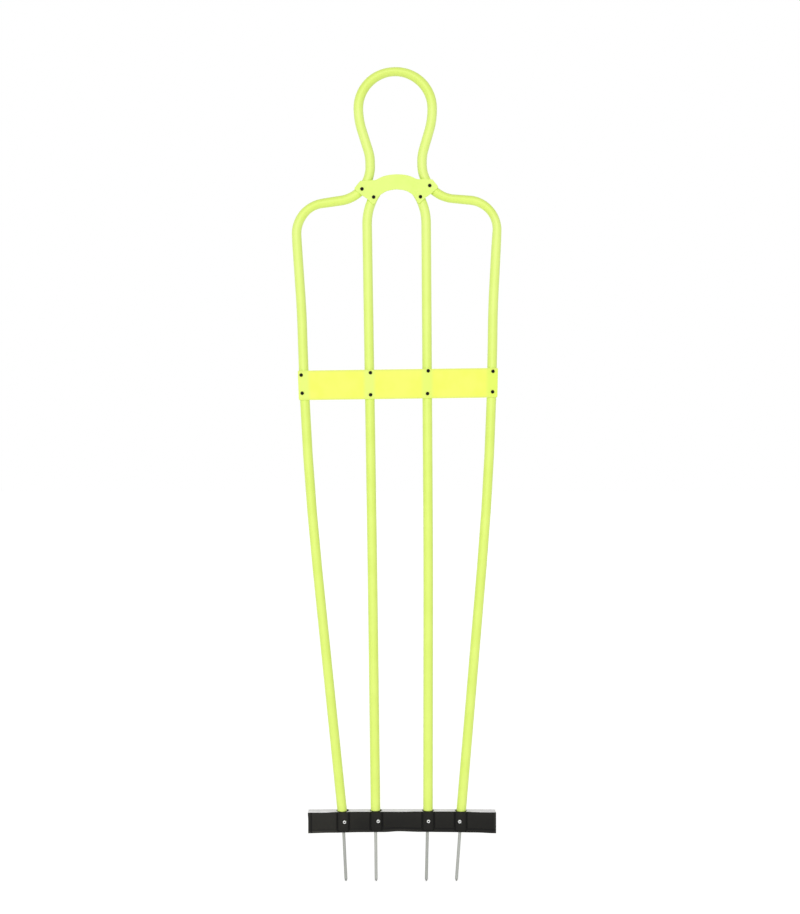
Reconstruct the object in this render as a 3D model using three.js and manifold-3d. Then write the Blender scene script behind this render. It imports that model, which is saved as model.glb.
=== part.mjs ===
// Free kick mannequin: a flat, life-size figure of two bent plastic tubes, joined by a neck
// plate and a chest plate and bolted to a base with four ground spikes.
// Millimetres, +Z up, front towards -Y. The origin is on the turf line, in the plane of the
// tubes, midway between the outer tube's ends.

import * as THREE from 'three';
import { mergeVertices } from 'three/addons/utils/BufferGeometryUtils.js';
import Module from 'manifold-3d';

const wasm = await Module();
wasm.setup();

// Fits and facets
const fitGap = 0.3; // between pieces that seat on each other
const cutOverrun = 2; // how far a cutter runs past the faces that it opens
const tubeSides = 16;
const boreSides = 16;
const turnedSides = 12; // round pieces: plugs, spikes and bolts
const screwSides = 10;
const bendStepAngle = Math.PI / 12; // largest turn between two rings of a bend
const fewestBendSteps = 3;

// Tube
const tubeDiameter = 22;
const tubeWall = 2;

// The figure's stance: it leans a little to the left, and its right side stands a little higher
const leanShare = 0.0087; // sideways shift per height
const riseShare = 0.021; // rise per distance to the right, at shoulder height

// Outer tube, from the shoulders to the crown. Spans run from the figure's middle to the
// tube's axis
const shoulderHalfSpan = 232.8;
const shoulderBendRadius = 68;
const shoulderSlopeShare = 0.125; // drop of the shoulder per distance outwards
const neckHalfSpan = 59.2;
const neckBaseHeight = 1449.3;
const neckBendRadius = 78;
const neckStraight = 7.2;
const jawAngle = 0.296; // turn from the neck to the jaw, in radians
const jawBendRadius = 100;
const headHalfSpan = 84.4;
const cheekBendRadius = 174;
const templeStraight = 0.4;
const crownHalfSpan = 84.1;
const crownFlat = 1; // straight stretch at the top of the head
const crownSway = 3.4; // the crown sits this far to the left

// Its flanks and legs, in shares of the shoulders' half span and of the neck's base height.
// A bow's share is its reach from the corner to where it ends
const footSpanShare = 0.5666;
const waistSpanShare = 0.9107;
const waistHeightShare = 0.5927;
const waistBowShare = 0.179;
const ribSpanShare = 0.9373;
const ribHeightShare = 0.817;
const ribBowShare = 0.0285;

// Inner tube, an upturned U inside the outer one
const innerFootHalfSpan = 59.6;
const innerWaistHalfSpan = 64;
const innerWaistHeightShare = 0.428; // of the neck's base height
const innerWaistBowShare = 0.08;
const innerSway = 1.8; // both legs bow to the right at mid height
const innerHalfSpan = 67.6;
const flankAngle = 0.575; // lean of the arch's flanks from upright, in radians
const flankBendRadius = 130;
const archBendRadius = 54;
const archFlat = 1.6; // straight stretch at the top of the arch
const archRise = 32.2; // top of the arch above the outer tube's neck corners

// Neck plate
const neckPlateWidth = 191;
const neckPlateHeight = 67;
const neckPlateThickness = 2.5;
const neckPlateDrop = 21; // its lower tips, below the outer tube's neck corners

// Chest plate
const chestPlateHeight = 67;
const chestPlateThickness = 2.2;
const chestPlateOverhang = 1.6; // past the outer tubes
const chestPlateCorner = 2.5;
const chestHeight = 1018.3;

// Screws of the plates
const screwDiameter = 4.2;
const screwLength = 13;
const screwPoint = 4;
const screwHeadDiameter = 8;
const screwHeadHeight = 2.6;
const screwHeadRim = 1; // upright edge of the head, under its dome

// Base cover, a moulded rubber strip with a channel for each tube
const coverLength = 428.8;
const coverHeight = 44.9;
const coverWall = 3.3; // in front of a tube
const channelDepth = 2; // how far the cover's back reaches round the tubes
const padHalfWidth = 14.2; // middle of a pad to the groove beside it
const padFlatHalfWidth = 10.5;
const padRise = 1.5; // a pad's face in front of the strip's face
const padGrooveDepth = 1.5;
const padGrooveHalfWidth = 2.6;
const coverEdgeRound = 1.1;
const coverRimWidth = 7.5; // along the bottom
const coverEndRimWidth = 7;
const coverRimGrooveWidth = 3;
const coverRimGrooveDepth = 0.7;
const coverEdgeSway = 2.4; // how far the top and bottom edges wander
const coverColumnStep = 24; // largest distance between two sections

// Base angle, of steel: a web behind the tubes and a flange over them
const angleEndGap = 0.5; // how far the cover runs past each end
const angleThickness = 3;
const angleHeight = 45;
const angleOuterRound = 4;
const angleCornerSteps = 4;
const notchClearance = 2; // round a tube, in the flange
const notchSides = 20;

// Bolts through cover, tube, plug and web
const boltDiameter = 5;
const boltHeight = 23.9;
const boltScatter = 1.3; // how far the bolts stray from that height
const boltHeadDiameter = 9;
const boltHeadHeight = 2.75;
const boltHeadRim = 0.8;
const boltHeadFlat = 5.4; // flat of the button, across
const boltTipProud = 1.5; // past the nut
const boltSpotDepth = 0.4; // the head's seat, below the pad's face
const boltSpotMargin = 0.5;
const nutAcrossFlats = 8;
const nutHeight = 4.7;

// Plugs and spikes
const plugFoot = 0.5; // its lower face, above the tube's end
const plugTop = 37;
const plugLead = 2.6; // height of its lead-in bevel
const plugBevel = 1;
const spikeDiameter = 7;
const spikeReach = 116; // below the turf line
const spikePoint = 8;
const spikeTipDiameter = 2.2;
const spikeNose = 3; // height of the blunt end of the point
const spikeNoseDiameter = 5.6;
const spikeHeadDiameter = 11;
const spikeHeadHeight = 3;
const spikeHeadClearance = 1; // under the bolt

// What follows from these sizes
const tubeRadius = tubeDiameter / 2;
const boreRadius = tubeRadius - tubeWall;
const plateBack = -(tubeRadius + fitGap);
const webFront = tubeRadius + fitGap;
const webBack = webFront + angleThickness;
const padFace = -(tubeRadius + fitGap + coverWall);
const stripFace = padFace + padRise;
const coverBack = plateBack + channelDepth;
const boltSeat = padFace + boltSpotDepth;
const angleLength = coverLength - 2 * angleEndGap;
const waistHalfSpan = shoulderHalfSpan * waistSpanShare;

// Shares of the tube's radius, one for each foot from left to right
const padOffsetShares = [0.135, 0.205, 0.08, 0.08];
const boltOffsetShares = [0.35, 0.56, 0.07, -0.23];
const notchOffsetShares = [0.1, 0.1, 0.02, -0.1];

// Shares of boltScatter, one for each foot
const boltRiseShares = [-0.95, 0.55, 0.42, -0.08];

// Materials
const neonTube = new THREE.MeshStandardMaterial({ color: 0xe0fb6e, roughness: 0.38, metalness: 0 });
const neonPlate = new THREE.MeshStandardMaterial({ color: 0xe6fb78, roughness: 0.45, metalness: 0 });
const chestYellow = new THREE.MeshStandardMaterial({ color: 0xf9fd6b, roughness: 0.45, metalness: 0 });
const blackScrew = new THREE.MeshStandardMaterial({ color: 0x17170f, roughness: 0.5, metalness: 0.4 });
const blackRubber = new THREE.MeshStandardMaterial({ color: 0x2c2b29, roughness: 0.75, metalness: 0 });
const blackNylon = new THREE.MeshStandardMaterial({ color: 0x1d1c1b, roughness: 0.55, metalness: 0 });
const galvanised = new THREE.MeshStandardMaterial({ color: 0xc9c9c6, roughness: 0.5, metalness: 0.9 });
const brightZinc = new THREE.MeshStandardMaterial({ color: 0xdcdcd8, roughness: 0.3, metalness: 0.9 });
const spikeZinc = new THREE.MeshStandardMaterial({ color: 0xb6b8b2, roughness: 0.4, metalness: 0.9 });

// A point of the figure, from its distance to the right of the middle and its height.
function onFigure(across, height) {
  const rise = (riseShare * across * height) / neckBaseHeight;
  return new THREE.Vector2(across - leanShare * height, height + rise);
}

// Solids

function toSolid(geometry) {
  const bare = geometry.clone();
  bare.deleteAttribute('normal');
  bare.deleteAttribute('uv');
  const merged = mergeVertices(bare);
  return new wasm.Manifold(new wasm.Mesh({
    numProp: 3,
    vertProperties: merged.attributes.position.array,
    triVerts: new Uint32Array(merged.index.array),
  }));
}

function toGeometry(solid) {
  const { vertProperties, triVerts } = solid.getMesh();
  const geometry = new THREE.BufferGeometry();
  geometry.setAttribute('position', new THREE.BufferAttribute(vertProperties, 3));
  geometry.setIndex(new THREE.BufferAttribute(triVerts, 1));
  geometry.computeVertexNormals();
  return geometry;
}

function cut(geometry, cutters) {
  const whole = toSolid(geometry);
  return toGeometry(cutters.reduce((solid, cutter) => solid.subtract(toSolid(cutter)), whole));
}

function circle(radius, sides) {
  return Array.from({ length: sides }, (_, k) => {
    const angle = (2 * Math.PI * k) / sides;
    return new THREE.Vector2(radius * Math.cos(angle), radius * Math.sin(angle));
  });
}

// A round cutter along Y, from one depth to another.
function drill(at, radius, from, to) {
  const cutter = new THREE.CylinderGeometry(radius, radius, to - from, turnedSides);
  return cutter.translate(at.x, (from + to) / 2, at.y);
}

// A turned piece, from a profile of [radius, place along the axis] that ends on the axis or
// closes on itself. Its axis is +Z.
function turned(profile, sides) {
  const points = profile.map(([radius, along]) => new THREE.Vector2(radius, along));
  return new THREE.LatheGeometry(points, sides).rotateX(Math.PI / 2);
}

// A flat plate in the plane of the figure, from its outline and its holes, with its back
// against the tubes.
function plate(outline, thickness, holes, holeRadius) {
  const shape = new THREE.Shape(outline);
  holes.forEach((at) => {
    const hole = new THREE.Path();
    hole.absarc(at.x, at.y, holeRadius, 0, 2 * Math.PI, true);
    shape.holes.push(hole);
  });
  const settings = { depth: thickness, bevelEnabled: false, curveSegments: turnedSides / 4 };
  return new THREE.ExtrudeGeometry(shape, settings).rotateX(Math.PI / 2).translate(0, plateBack, 0);
}

// Bent tubes

// The centre line of a bent tube: straight runs between corners, with an arc at each corner,
// given by its radius or by its reach along both runs. Every station holds its place and its
// direction of travel.
function bendPath(corners) {
  const places = corners.map(({ across, height }) => onFigure(across, height));
  const runs = places.slice(1).map((place, i) => place.clone().sub(places[i]).normalize());
  const stations = [{ at: places[0], along: runs[0] }];
  for (let i = 1; i < corners.length - 1; i += 1) {
    const before = runs[i - 1];
    const turn = Math.atan2(before.cross(runs[i]), before.dot(runs[i]));
    const slope = Math.tan(Math.abs(turn) / 2);
    const reach = corners[i].reach ?? corners[i].radius * slope;
    const radius = reach / slope;
    const start = places[i].clone().addScaledVector(before, -reach);
    const inward = new THREE.Vector2(-before.y, before.x).multiplyScalar(Math.sign(turn) * radius);
    const middle = start.clone().add(inward);
    const steps = Math.max(fewestBendSteps, Math.ceil(Math.abs(turn) / bendStepAngle));
    for (let k = 0; k <= steps; k += 1) {
      const angle = (turn * k) / steps;
      const at = start.clone().rotateAround(middle, angle);
      stations.push({ at, along: before.clone().rotateAround(new THREE.Vector2(), angle) });
    }
  }
  stations.push({ at: places.at(-1), along: runs.at(-1) });
  return stations;
}

// A centre line as a curve that runs evenly over its stations, so that an extrusion along it
// has one ring at each of them.
class CentreLine extends THREE.Curve {
  constructor(stations) {
    super();
    this.stations = stations;
    this.steps = stations.length - 1;
  }

  getPointAt(share) {
    const { at } = this.stations[Math.round(share * this.steps)];
    return new THREE.Vector3(at.x, 0, at.y);
  }

  getTangentAt(share) {
    const { along } = this.stations[Math.round(share * this.steps)];
    return new THREE.Vector3(along.x, 0, along.y);
  }
}

// A round bar along a centre line; beyond runs it past both ends.
function bar(stations, radius, sides, beyond) {
  const ends = [stations[0], stations.at(-1)].map(({ at, along }, i) => {
    const past = i === 0 ? -beyond : beyond;
    return { at: at.clone().addScaledVector(along, past), along };
  });
  const line = new CentreLine([ends[0], ...stations.slice(1, -1), ends[1]]);
  const section = new THREE.Shape(circle(radius, sides));
  return new THREE.ExtrudeGeometry(section, { steps: line.steps, extrudePath: line });
}

// Where a tube's leg passes a height: side is -1 for its left leg and 1 for its right one.
function legAt(stations, side, height) {
  const half = Math.floor(stations.length / 2);
  const leg = side < 0 ? stations.slice(0, half) : stations.slice(half).reverse();
  const above = leg.findIndex(({ at }) => at.y > height);
  const low = leg[Math.max(above - 1, 0)];
  const high = leg[Math.max(above, 1)];
  const share = (height - low.at.y) / (high.at.y - low.at.y);
  return low.at.clone().lerp(high.at, share);
}

const neckTurn = Math.PI / 2 - Math.atan(shoulderSlopeShare);
const neckTopHeight = neckBaseHeight + neckBendRadius * Math.tan(neckTurn / 2)
  + neckStraight + jawBendRadius * Math.tan(jawAngle / 2);
const cheekHeight = neckTopHeight + (headHalfSpan - neckHalfSpan) / Math.tan(jawAngle);
const crownBendRadius = crownHalfSpan - crownFlat / 2;
const crownHeight = cheekHeight + cheekBendRadius * Math.tan(jawAngle / 2)
  + templeStraight + crownBendRadius;
const shoulderHeight = neckBaseHeight - (shoulderHalfSpan - neckHalfSpan) * shoulderSlopeShare;

function outerCorners(side) {
  return [
    { across: side * shoulderHalfSpan * footSpanShare, height: 0 },
    {
      across: side * waistHalfSpan,
      height: neckBaseHeight * waistHeightShare,
      reach: neckBaseHeight * waistBowShare,
    },
    {
      across: side * shoulderHalfSpan * ribSpanShare,
      height: neckBaseHeight * ribHeightShare,
      reach: neckBaseHeight * ribBowShare,
    },
    { across: side * shoulderHalfSpan, height: shoulderHeight, radius: shoulderBendRadius },
    { across: side * neckHalfSpan, height: neckBaseHeight, radius: neckBendRadius },
    { across: side * neckHalfSpan, height: neckTopHeight, radius: jawBendRadius },
    { across: side * headHalfSpan, height: cheekHeight, radius: cheekBendRadius },
    { across: side * crownHalfSpan - crownSway, height: crownHeight, radius: crownBendRadius },
  ];
}

const archTopHeight = neckBaseHeight + archRise;
const archTurn = Math.PI / 2 - flankAngle;
const archHalfSpan = archBendRadius * Math.tan(archTurn / 2) + archFlat / 2;
const flankHeight = archTopHeight - (innerHalfSpan - archHalfSpan) / Math.tan(flankAngle);

function innerCorners(side) {
  return [
    { across: side * innerFootHalfSpan, height: 0 },
    {
      across: side * innerWaistHalfSpan + innerSway,
      height: neckBaseHeight * innerWaistHeightShare,
      reach: neckBaseHeight * innerWaistBowShare,
    },
    { across: side * innerHalfSpan, height: flankHeight, radius: flankBendRadius },
    { across: side * archHalfSpan, height: archTopHeight, radius: archBendRadius },
  ];
}

const outerPath = bendPath([...outerCorners(-1), ...outerCorners(1).reverse()]);
const innerPath = bendPath([...innerCorners(-1), ...innerCorners(1).reverse()]);

// Fasteners' places

// A foot of a tube, with the direction in which the tube rises from it.
function foot(path, side) {
  const end = side < 0 ? path[0] : path.at(-1);
  return { at: end.at, up: end.along.clone().multiplyScalar(-side), path, side };
}

const feet = [foot(outerPath, -1), foot(innerPath, -1), foot(innerPath, 1), foot(outerPath, 1)];

const boltPlaces = feet.map(({ path, side }, i) => {
  const height = boltHeight + boltScatter * boltRiseShares[i];
  const at = legAt(path, side, height);
  at.x += boltOffsetShares[i] * tubeRadius;
  return at;
});

// Chest screws: tube, side, height in shares of half the plate's height, and distance off the
// tube's axis in shares of the tube's radius.
const chestScrewShares = [
  [outerPath, -1, 0.7, -0.49],
  [outerPath, -1, -0.53, -0.43],
  [innerPath, -1, 0.8, 0.24],
  [innerPath, -1, -0.7, 0.21],
  [innerPath, 1, 0.865, 0.2],
  [innerPath, 1, -0.68, 0.03],
  [outerPath, 1, 0.77, 0.14],
  [outerPath, 1, -0.62, 0.16],
];

// Neck screws: the same, with the height in shares of the neck plate's height above its tips.
const neckScrewShares = [
  [outerPath, -1, 0.5, 0.32],
  [innerPath, -1, 0.225, 0.09],
  [innerPath, 1, 0.235, 0.12],
  [outerPath, 1, 0.615, -0.2],
];

const neckPlateFoot = neckBaseHeight - neckPlateDrop;

const chestScrewPlaces = chestScrewShares.map(([path, side, heightShare, offsetShare]) => {
  const rise = (riseShare * side * waistHalfSpan * chestHeight) / neckBaseHeight;
  const tilt = path === outerPath ? rise : (rise * innerHalfSpan) / waistHalfSpan;
  const at = legAt(path, side, chestHeight + (heightShare * chestPlateHeight) / 2 + tilt);
  at.x += offsetShare * tubeRadius;
  return at;
});

const neckScrewPlaces = neckScrewShares.map(([path, side, heightShare, offsetShare]) => {
  const at = legAt(path, side, neckPlateFoot + heightShare * neckPlateHeight);
  at.x += offsetShare * tubeRadius;
  return at;
});

// Tubes, each with its bore and the holes for its screws and bolts

function screwsOf(path) {
  const chest = chestScrewPlaces.filter((_, i) => chestScrewShares[i][0] === path);
  const neck = neckScrewPlaces.filter((_, i) => neckScrewShares[i][0] === path);
  return [...chest, ...neck];
}

function tube(path) {
  const screwHoles = screwsOf(path).map((at) => (
    drill(at, screwDiameter / 2 + fitGap, -tubeRadius - cutOverrun, 0)
  ));
  const boltHoles = boltPlaces.filter((_, i) => feet[i].path === path).map((at) => (
    drill(at, boltDiameter / 2 + fitGap, -tubeRadius - cutOverrun, tubeRadius + cutOverrun)
  ));
  const bore = bar(path, boreRadius, boreSides, cutOverrun);
  return cut(bar(path, tubeRadius, tubeSides, 0), [bore, ...screwHoles, ...boltHoles]);
}

// Neck plate: half of its outline, right of the middle, as [share of half its width, share of
// its height]. The first stretch is the edge from the arch's crown to the ear, the last one
// the inner edge of the arch.
const archOuterShares = [[0, 1], [0.16, 0.985], [0.32, 0.935], [0.493, 0.82]];
const earShares = [[0.86, 0.803], [1, 0.554], [0.976, 0.497], [0.82, 0.31], [0.7, 0.195], [0.56, 0]];
const archInnerShares = [[0.51, 0.02], [0.445, 0.2], [0.374, 0.315], [0.219, 0.44], [0, 0.493]];
const archCurveSteps = 5;

function neckPlateOutline() {
  const smooth = (shares) => {
    const points = shares.map(([x, y]) => new THREE.Vector2(x, y));
    return new THREE.SplineCurve(points).getPoints(archCurveSteps).map((p) => [p.x, p.y]);
  };
  const half = [...smooth(archOuterShares), ...earShares, ...smooth(archInnerShares)];
  const mirrored = half.slice(1, -1).reverse().map(([x, y]) => [-x, y]);
  return [...half, ...mirrored].reverse().map(([x, y]) => (
    onFigure((x * neckPlateWidth) / 2, neckPlateFoot + y * neckPlateHeight)
  ));
}

// Chest plate: a strip whose ends follow the outer tubes, with clipped corners.
function chestPlateOutline() {
  const corners = [[-1, -1], [1, -1], [1, 1], [-1, 1]].map(([side, end]) => {
    const height = chestHeight + (end * chestPlateHeight) / 2;
    const level = (riseShare * side * waistHalfSpan * height) / neckBaseHeight;
    const leg = legAt(outerPath, side, height);
    return new THREE.Vector2(leg.x + side * (tubeRadius + chestPlateOverhang), height + level);
  });
  return corners.flatMap((at, i) => {
    const before = corners[(i + 3) % 4].clone().sub(at).setLength(chestPlateCorner);
    const after = corners[(i + 1) % 4].clone().sub(at).setLength(chestPlateCorner);
    return [at.clone().add(before), at.clone().add(after)];
  });
}

// Screw: pan head on the plate's face, shank through plate and tube wall. Its axis is +Y.
function screw(face) {
  const shank = screwDiameter / 2;
  const head = screwHeadDiameter / 2;
  const profile = [
    [0, screwLength],
    [shank, screwLength - screwPoint],
    [shank, 0],
    [head, 0],
    [head, -screwHeadRim],
    [(head + shank) / 2, -(3 * screwHeadHeight + screwHeadRim) / 4],
    [0, -screwHeadHeight],
  ];
  return turned(profile.reverse(), screwSides).rotateX(-Math.PI / 2).translate(0, face, 0);
}

// Bolt: button head in its spot on the cover, shank through the nut. Its axis is +Y.
function bolt() {
  const shank = boltDiameter / 2;
  const head = boltHeadDiameter / 2;
  const tip = webBack + nutHeight + boltTipProud - boltSeat;
  const profile = [
    [0, -boltHeadHeight],
    [boltHeadFlat / 2, -boltHeadHeight],
    [(boltHeadFlat / 2 + head) / 2, -(2 * boltHeadHeight + boltHeadRim) / 3],
    [head, -boltHeadRim],
    [head, 0],
    [shank, 0],
    [shank, tip - boltHeadRim],
    [shank - boltHeadRim, tip],
    [0, tip],
  ];
  return turned(profile, turnedSides).rotateX(-Math.PI / 2).translate(0, boltSeat, 0);
}

// Nut: hexagon with a clearance hole, on the back of the web.
function nut() {
  const corners = circle(nutAcrossFlats / 2 / Math.cos(Math.PI / 6), 6);
  const shape = new THREE.Shape(corners);
  const hole = new THREE.Path();
  hole.absarc(0, 0, boltDiameter / 2 + fitGap, 0, 2 * Math.PI, true);
  shape.holes.push(hole);
  const settings = { depth: nutHeight, bevelEnabled: false, curveSegments: turnedSides / 2 };
  const prism = new THREE.ExtrudeGeometry(shape, settings).rotateX(Math.PI / 2);
  return prism.translate(0, webBack + nutHeight, 0);
}

// Base

// A turned piece on a stance: its foot at the stance's place, +Z up the stance's direction.
function stand(geometry, { at, up }) {
  const tilt = Math.atan2(up.x, up.y);
  return geometry.rotateY(tilt).translate(at.x, 0, at.y);
}

const spikeHeadTop = boltHeight - boltScatter - boltDiameter / 2 - fitGap - spikeHeadClearance;
const spikeHeadSeat = spikeHeadTop - spikeHeadHeight;

// Each spike is off its tube's axis at its head's seat, by a share of the tube's radius, and
// has a slant of its own: sideways shift per height.
const spikeOffsetShares = [-0.04, -0.025, -0.09, 0.06];
const spikeSlantShares = [-0.048, -0.01, 0.021, 0.072];

const spikeStances = feet.map(({ at, up }, i) => {
  const seat = at.clone().addScaledVector(up, spikeHeadSeat);
  seat.x += spikeOffsetShares[i] * tubeRadius;
  const slant = new THREE.Vector2(spikeSlantShares[i], 1).normalize();
  return { at: seat.addScaledVector(slant, -spikeHeadSeat), up: slant };
});

// Plug: a bush up the tube's end, with a stepped bore along the spike and a seat for its head.
function plug(place, spikeStance, boltPlace) {
  const outer = boreRadius - fitGap;
  const body = [
    [0, plugFoot],
    [outer, plugFoot],
    [outer, plugTop - plugLead],
    [outer - plugBevel, plugTop],
    [0, plugTop],
  ];
  const rodBore = spikeDiameter / 2 + fitGap;
  const headBore = spikeHeadDiameter / 2 + fitGap;
  const bore = [
    [0, -cutOverrun],
    [rodBore, -cutOverrun],
    [rodBore, spikeHeadSeat - fitGap],
    [headBore, spikeHeadSeat - fitGap],
    [headBore, plugTop + cutOverrun],
    [0, plugTop + cutOverrun],
  ];
  return cut(stand(turned(body, turnedSides), place), [
    stand(turned(bore, turnedSides), spikeStance),
    drill(boltPlace, boltDiameter / 2 + fitGap, -tubeRadius, tubeRadius),
  ]);
}

// Spike: a rod with a blunt point and a flat head, like a large nail.
function spike(stance) {
  const rod = spikeDiameter / 2;
  const profile = [
    [0, -spikeReach],
    [spikeTipDiameter / 2, -spikeReach],
    [spikeNoseDiameter / 2, spikeNose - spikeReach],
    [rod, spikePoint - spikeReach],
    [rod, spikeHeadSeat],
    [spikeHeadDiameter / 2, spikeHeadSeat],
    [spikeHeadDiameter / 2, spikeHeadTop],
    [0, spikeHeadTop],
  ];
  return stand(turned(profile, turnedSides), stance);
}

// Angle: an L section along X, with a notch for each tube and a hole for each bolt.
function baseAngle() {
  const roundMiddle = [webBack - angleOuterRound, angleHeight - angleOuterRound];
  const section = new THREE.Shape();
  section.moveTo(webFront, 0);
  section.lineTo(webBack, 0);
  section.absarc(...roundMiddle, angleOuterRound, 0, Math.PI / 2);
  section.lineTo(coverBack, angleHeight);
  section.lineTo(coverBack, angleHeight - angleThickness);
  section.lineTo(webFront, angleHeight - angleThickness);
  const settings = { depth: angleLength, bevelEnabled: false, curveSegments: angleCornerSteps };
  const blank = new THREE.ExtrudeGeometry(section, settings);
  blank.rotateY(Math.PI / 2).rotateX(Math.PI / 2).translate(-angleLength / 2, 0, 0);
  const notches = feet.map(({ path, side }, i) => {
    const at = legAt(path, side, angleHeight);
    const radius = tubeRadius + notchClearance;
    const cutter = new THREE.CylinderGeometry(radius, radius, angleThickness + 2 * cutOverrun, notchSides);
    cutter.rotateX(Math.PI / 2);
    return cutter.translate(at.x + notchOffsetShares[i] * tubeRadius, 0, angleHeight - angleThickness / 2);
  });
  const holes = boltPlaces.map((at) => (
    drill(at, boltDiameter / 2 + fitGap, webFront - cutOverrun, webBack + cutOverrun)
  ));
  return cut(blank, [...notches, ...holes]);
}

// Cover: sections across the strip, lofted along X. Its pads, grooves and rims are a relief
// on the front, and its top and bottom edges wander a little.

// Wander of the edges: [share of half the length, share of coverEdgeSway]
const topEdgeShares = [
  [-1, -1], [-0.85, -1], [-0.68, -0.3], [-0.45, -0.06], [0, -0.08],
  [0.15, 0.12], [0.6, 0.12], [0.92, -0.7], [1, -0.72],
];
const bottomEdgeShares = [
  [-1, -1.54], [-0.75, -1.03], [-0.4, -0.48], [-0.2, -0.4], [-0.03, 0.38],
  [0.2, -0.19], [0.43, -0.37], [0.77, -0.76], [1, -1.52],
];

// A solid lofted through closed outlines that all have as many points, counter-clockwise as
// seen from the far end. place(point, index) puts a point of an outline in space.
function loft(outlines, place) {
  const count = outlines[0].length;
  const last = outlines.length - 1;
  const positions = outlines.flatMap((outline, i) => outline.flatMap((p) => place(p, i).toArray()));
  const index = [];
  for (let i = 0; i < last; i += 1) {
    for (let k = 0; k < count; k += 1) {
      const a = i * count + k;
      const b = i * count + ((k + 1) % count);
      index.push(a, b, b + count);
      index.push(a, b + count, a + count);
    }
  }
  THREE.ShapeUtils.triangulateShape(outlines[0], []).forEach(([a, b, c]) => index.push(a, c, b));
  const start = last * count;
  THREE.ShapeUtils.triangulateShape(outlines[last], [])
    .forEach(([a, b, c]) => index.push(start + a, start + b, start + c));
  const geometry = new THREE.BufferGeometry();
  geometry.setAttribute('position', new THREE.Float32BufferAttribute(positions, 3));
  geometry.setIndex(index);
  geometry.computeVertexNormals();
  return geometry;
}

// A smooth value between rows of [place, value]; both ends hold their value.
function blend(rows, place) {
  const next = Math.max(1, rows.findIndex(([at]) => at >= place));
  const [fromPlace, from] = rows[next - 1];
  const [toPlace, to] = rows[next];
  const share = THREE.MathUtils.smoothstep(place, fromPlace, toPlace);
  return from + (to - from) * share;
}

// A round-bottomed groove, 1 in its middle and 0 at half its width from there.
function groove(distance, halfWidth) {
  const share = Math.min(Math.abs(distance) / halfWidth, 1);
  return (1 + Math.cos(Math.PI * share)) / 2;
}

const padMiddles = feet.map(({ path, side }, i) => (
  legAt(path, side, coverHeight / 2).x + padOffsetShares[i] * tubeRadius
));

// How far the front stands before the strip's face at a distance from a pad's middle.
function padRelief(distance) {
  const away = Math.abs(distance);
  const face = 1 - THREE.MathUtils.smoothstep(away, padFlatHalfWidth, padHalfWidth);
  return padRise * face - padGrooveDepth * groove(away - padHalfWidth, padGrooveHalfWidth);
}

function coverColumns() {
  const half = coverLength / 2;
  const rim = coverRimGrooveWidth / 2;
  const endSteps = [0, coverEdgeRound, coverEndRimWidth - rim, coverEndRimWidth, coverEndRimWidth + rim];
  const ends = endSteps.flatMap((step) => [-half + step, half - step]);
  const padSteps = [
    0,
    padFlatHalfWidth,
    (padFlatHalfWidth + padHalfWidth) / 2,
    padHalfWidth,
    padHalfWidth + padGrooveHalfWidth / 2,
    padHalfWidth + padGrooveHalfWidth,
  ];
  const pads = padMiddles.flatMap((middle) => padSteps.flatMap((step) => [middle - step, middle + step]));
  const fixed = [...new Set([...ends, ...pads])].sort((a, b) => a - b);
  return fixed.flatMap((x, i) => {
    const width = (fixed[i + 1] ?? x) - x;
    const parts = Math.max(1, Math.ceil(width / coverColumnStep));
    return Array.from({ length: parts }, (_, k) => x + (width * k) / parts);
  });
}

function coverSection(x) {
  const half = coverLength / 2;
  const bottom = coverEdgeSway * blend(bottomEdgeShares, x / half);
  const top = coverHeight + coverEdgeSway * blend(topEdgeShares, x / half);
  const fromEnd = half - Math.abs(x);
  const pad = padMiddles.reduce((sum, middle) => sum + padRelief(x - middle), 0);
  const rim = coverRimGrooveWidth / 2;
  const endDrop = fromEnd < coverEdgeRound ? coverEdgeRound : 0;
  const endGroove = coverRimGrooveDepth * groove(fromEnd - coverEndRimWidth, rim);
  const rows = [
    [bottom, coverEdgeRound],
    [bottom + coverEdgeRound, 0],
    [bottom + coverRimWidth - rim, 0],
    [bottom + coverRimWidth, coverRimGrooveDepth],
    [bottom + coverRimWidth + rim, 0],
    [top - coverEdgeRound, 0],
    [top, coverEdgeRound],
  ];
  const front = rows.map(([z, drop]) => (
    new THREE.Vector2(stripFace - pad + Math.max(drop, endDrop, endGroove), z)
  ));
  return [new THREE.Vector2(coverBack, bottom), new THREE.Vector2(coverBack, top), ...front.reverse()];
}

function baseCover() {
  const columns = coverColumns();
  const blank = loft(columns.map(coverSection), ({ x, y }, i) => new THREE.Vector3(columns[i], x, y));
  const channels = feet.map(({ path, side }) => {
    const low = legAt(path, side, -coverHeight);
    const high = legAt(path, side, 2 * coverHeight);
    const along = high.clone().sub(low).normalize();
    return bar([{ at: low, along }, { at: high, along }], tubeRadius + fitGap, tubeSides, 0);
  });
  const holes = boltPlaces.map((at) => drill(at, boltDiameter / 2 + fitGap, padFace - cutOverrun, 0));
  const spotRadius = boltHeadDiameter / 2 + boltSpotMargin;
  const spots = boltPlaces.map((at) => drill(at, spotRadius, padFace - cutOverrun, boltSeat));
  return cut(blank, [...channels, ...holes, ...spots]);
}

// Assembly

const mannequin = new THREE.Group();

function add(parent, name, geometry, material) {
  const mesh = new THREE.Mesh(geometry, material);
  mesh.name = name;
  parent.add(mesh);
  return mesh;
}

add(mannequin, 'outer_tube', tube(outerPath), neonTube);
add(mannequin, 'inner_tube', tube(innerPath), neonTube);

const plateHoleRadius = screwDiameter / 2 + fitGap;
const neckPlate = plate(neckPlateOutline(), neckPlateThickness, neckScrewPlaces, plateHoleRadius);
const chestPlate = plate(chestPlateOutline(), chestPlateThickness, chestScrewPlaces, plateHoleRadius);
add(mannequin, 'neck_plate', neckPlate, neonPlate);
add(mannequin, 'chest_plate', chestPlate, chestYellow);

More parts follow.
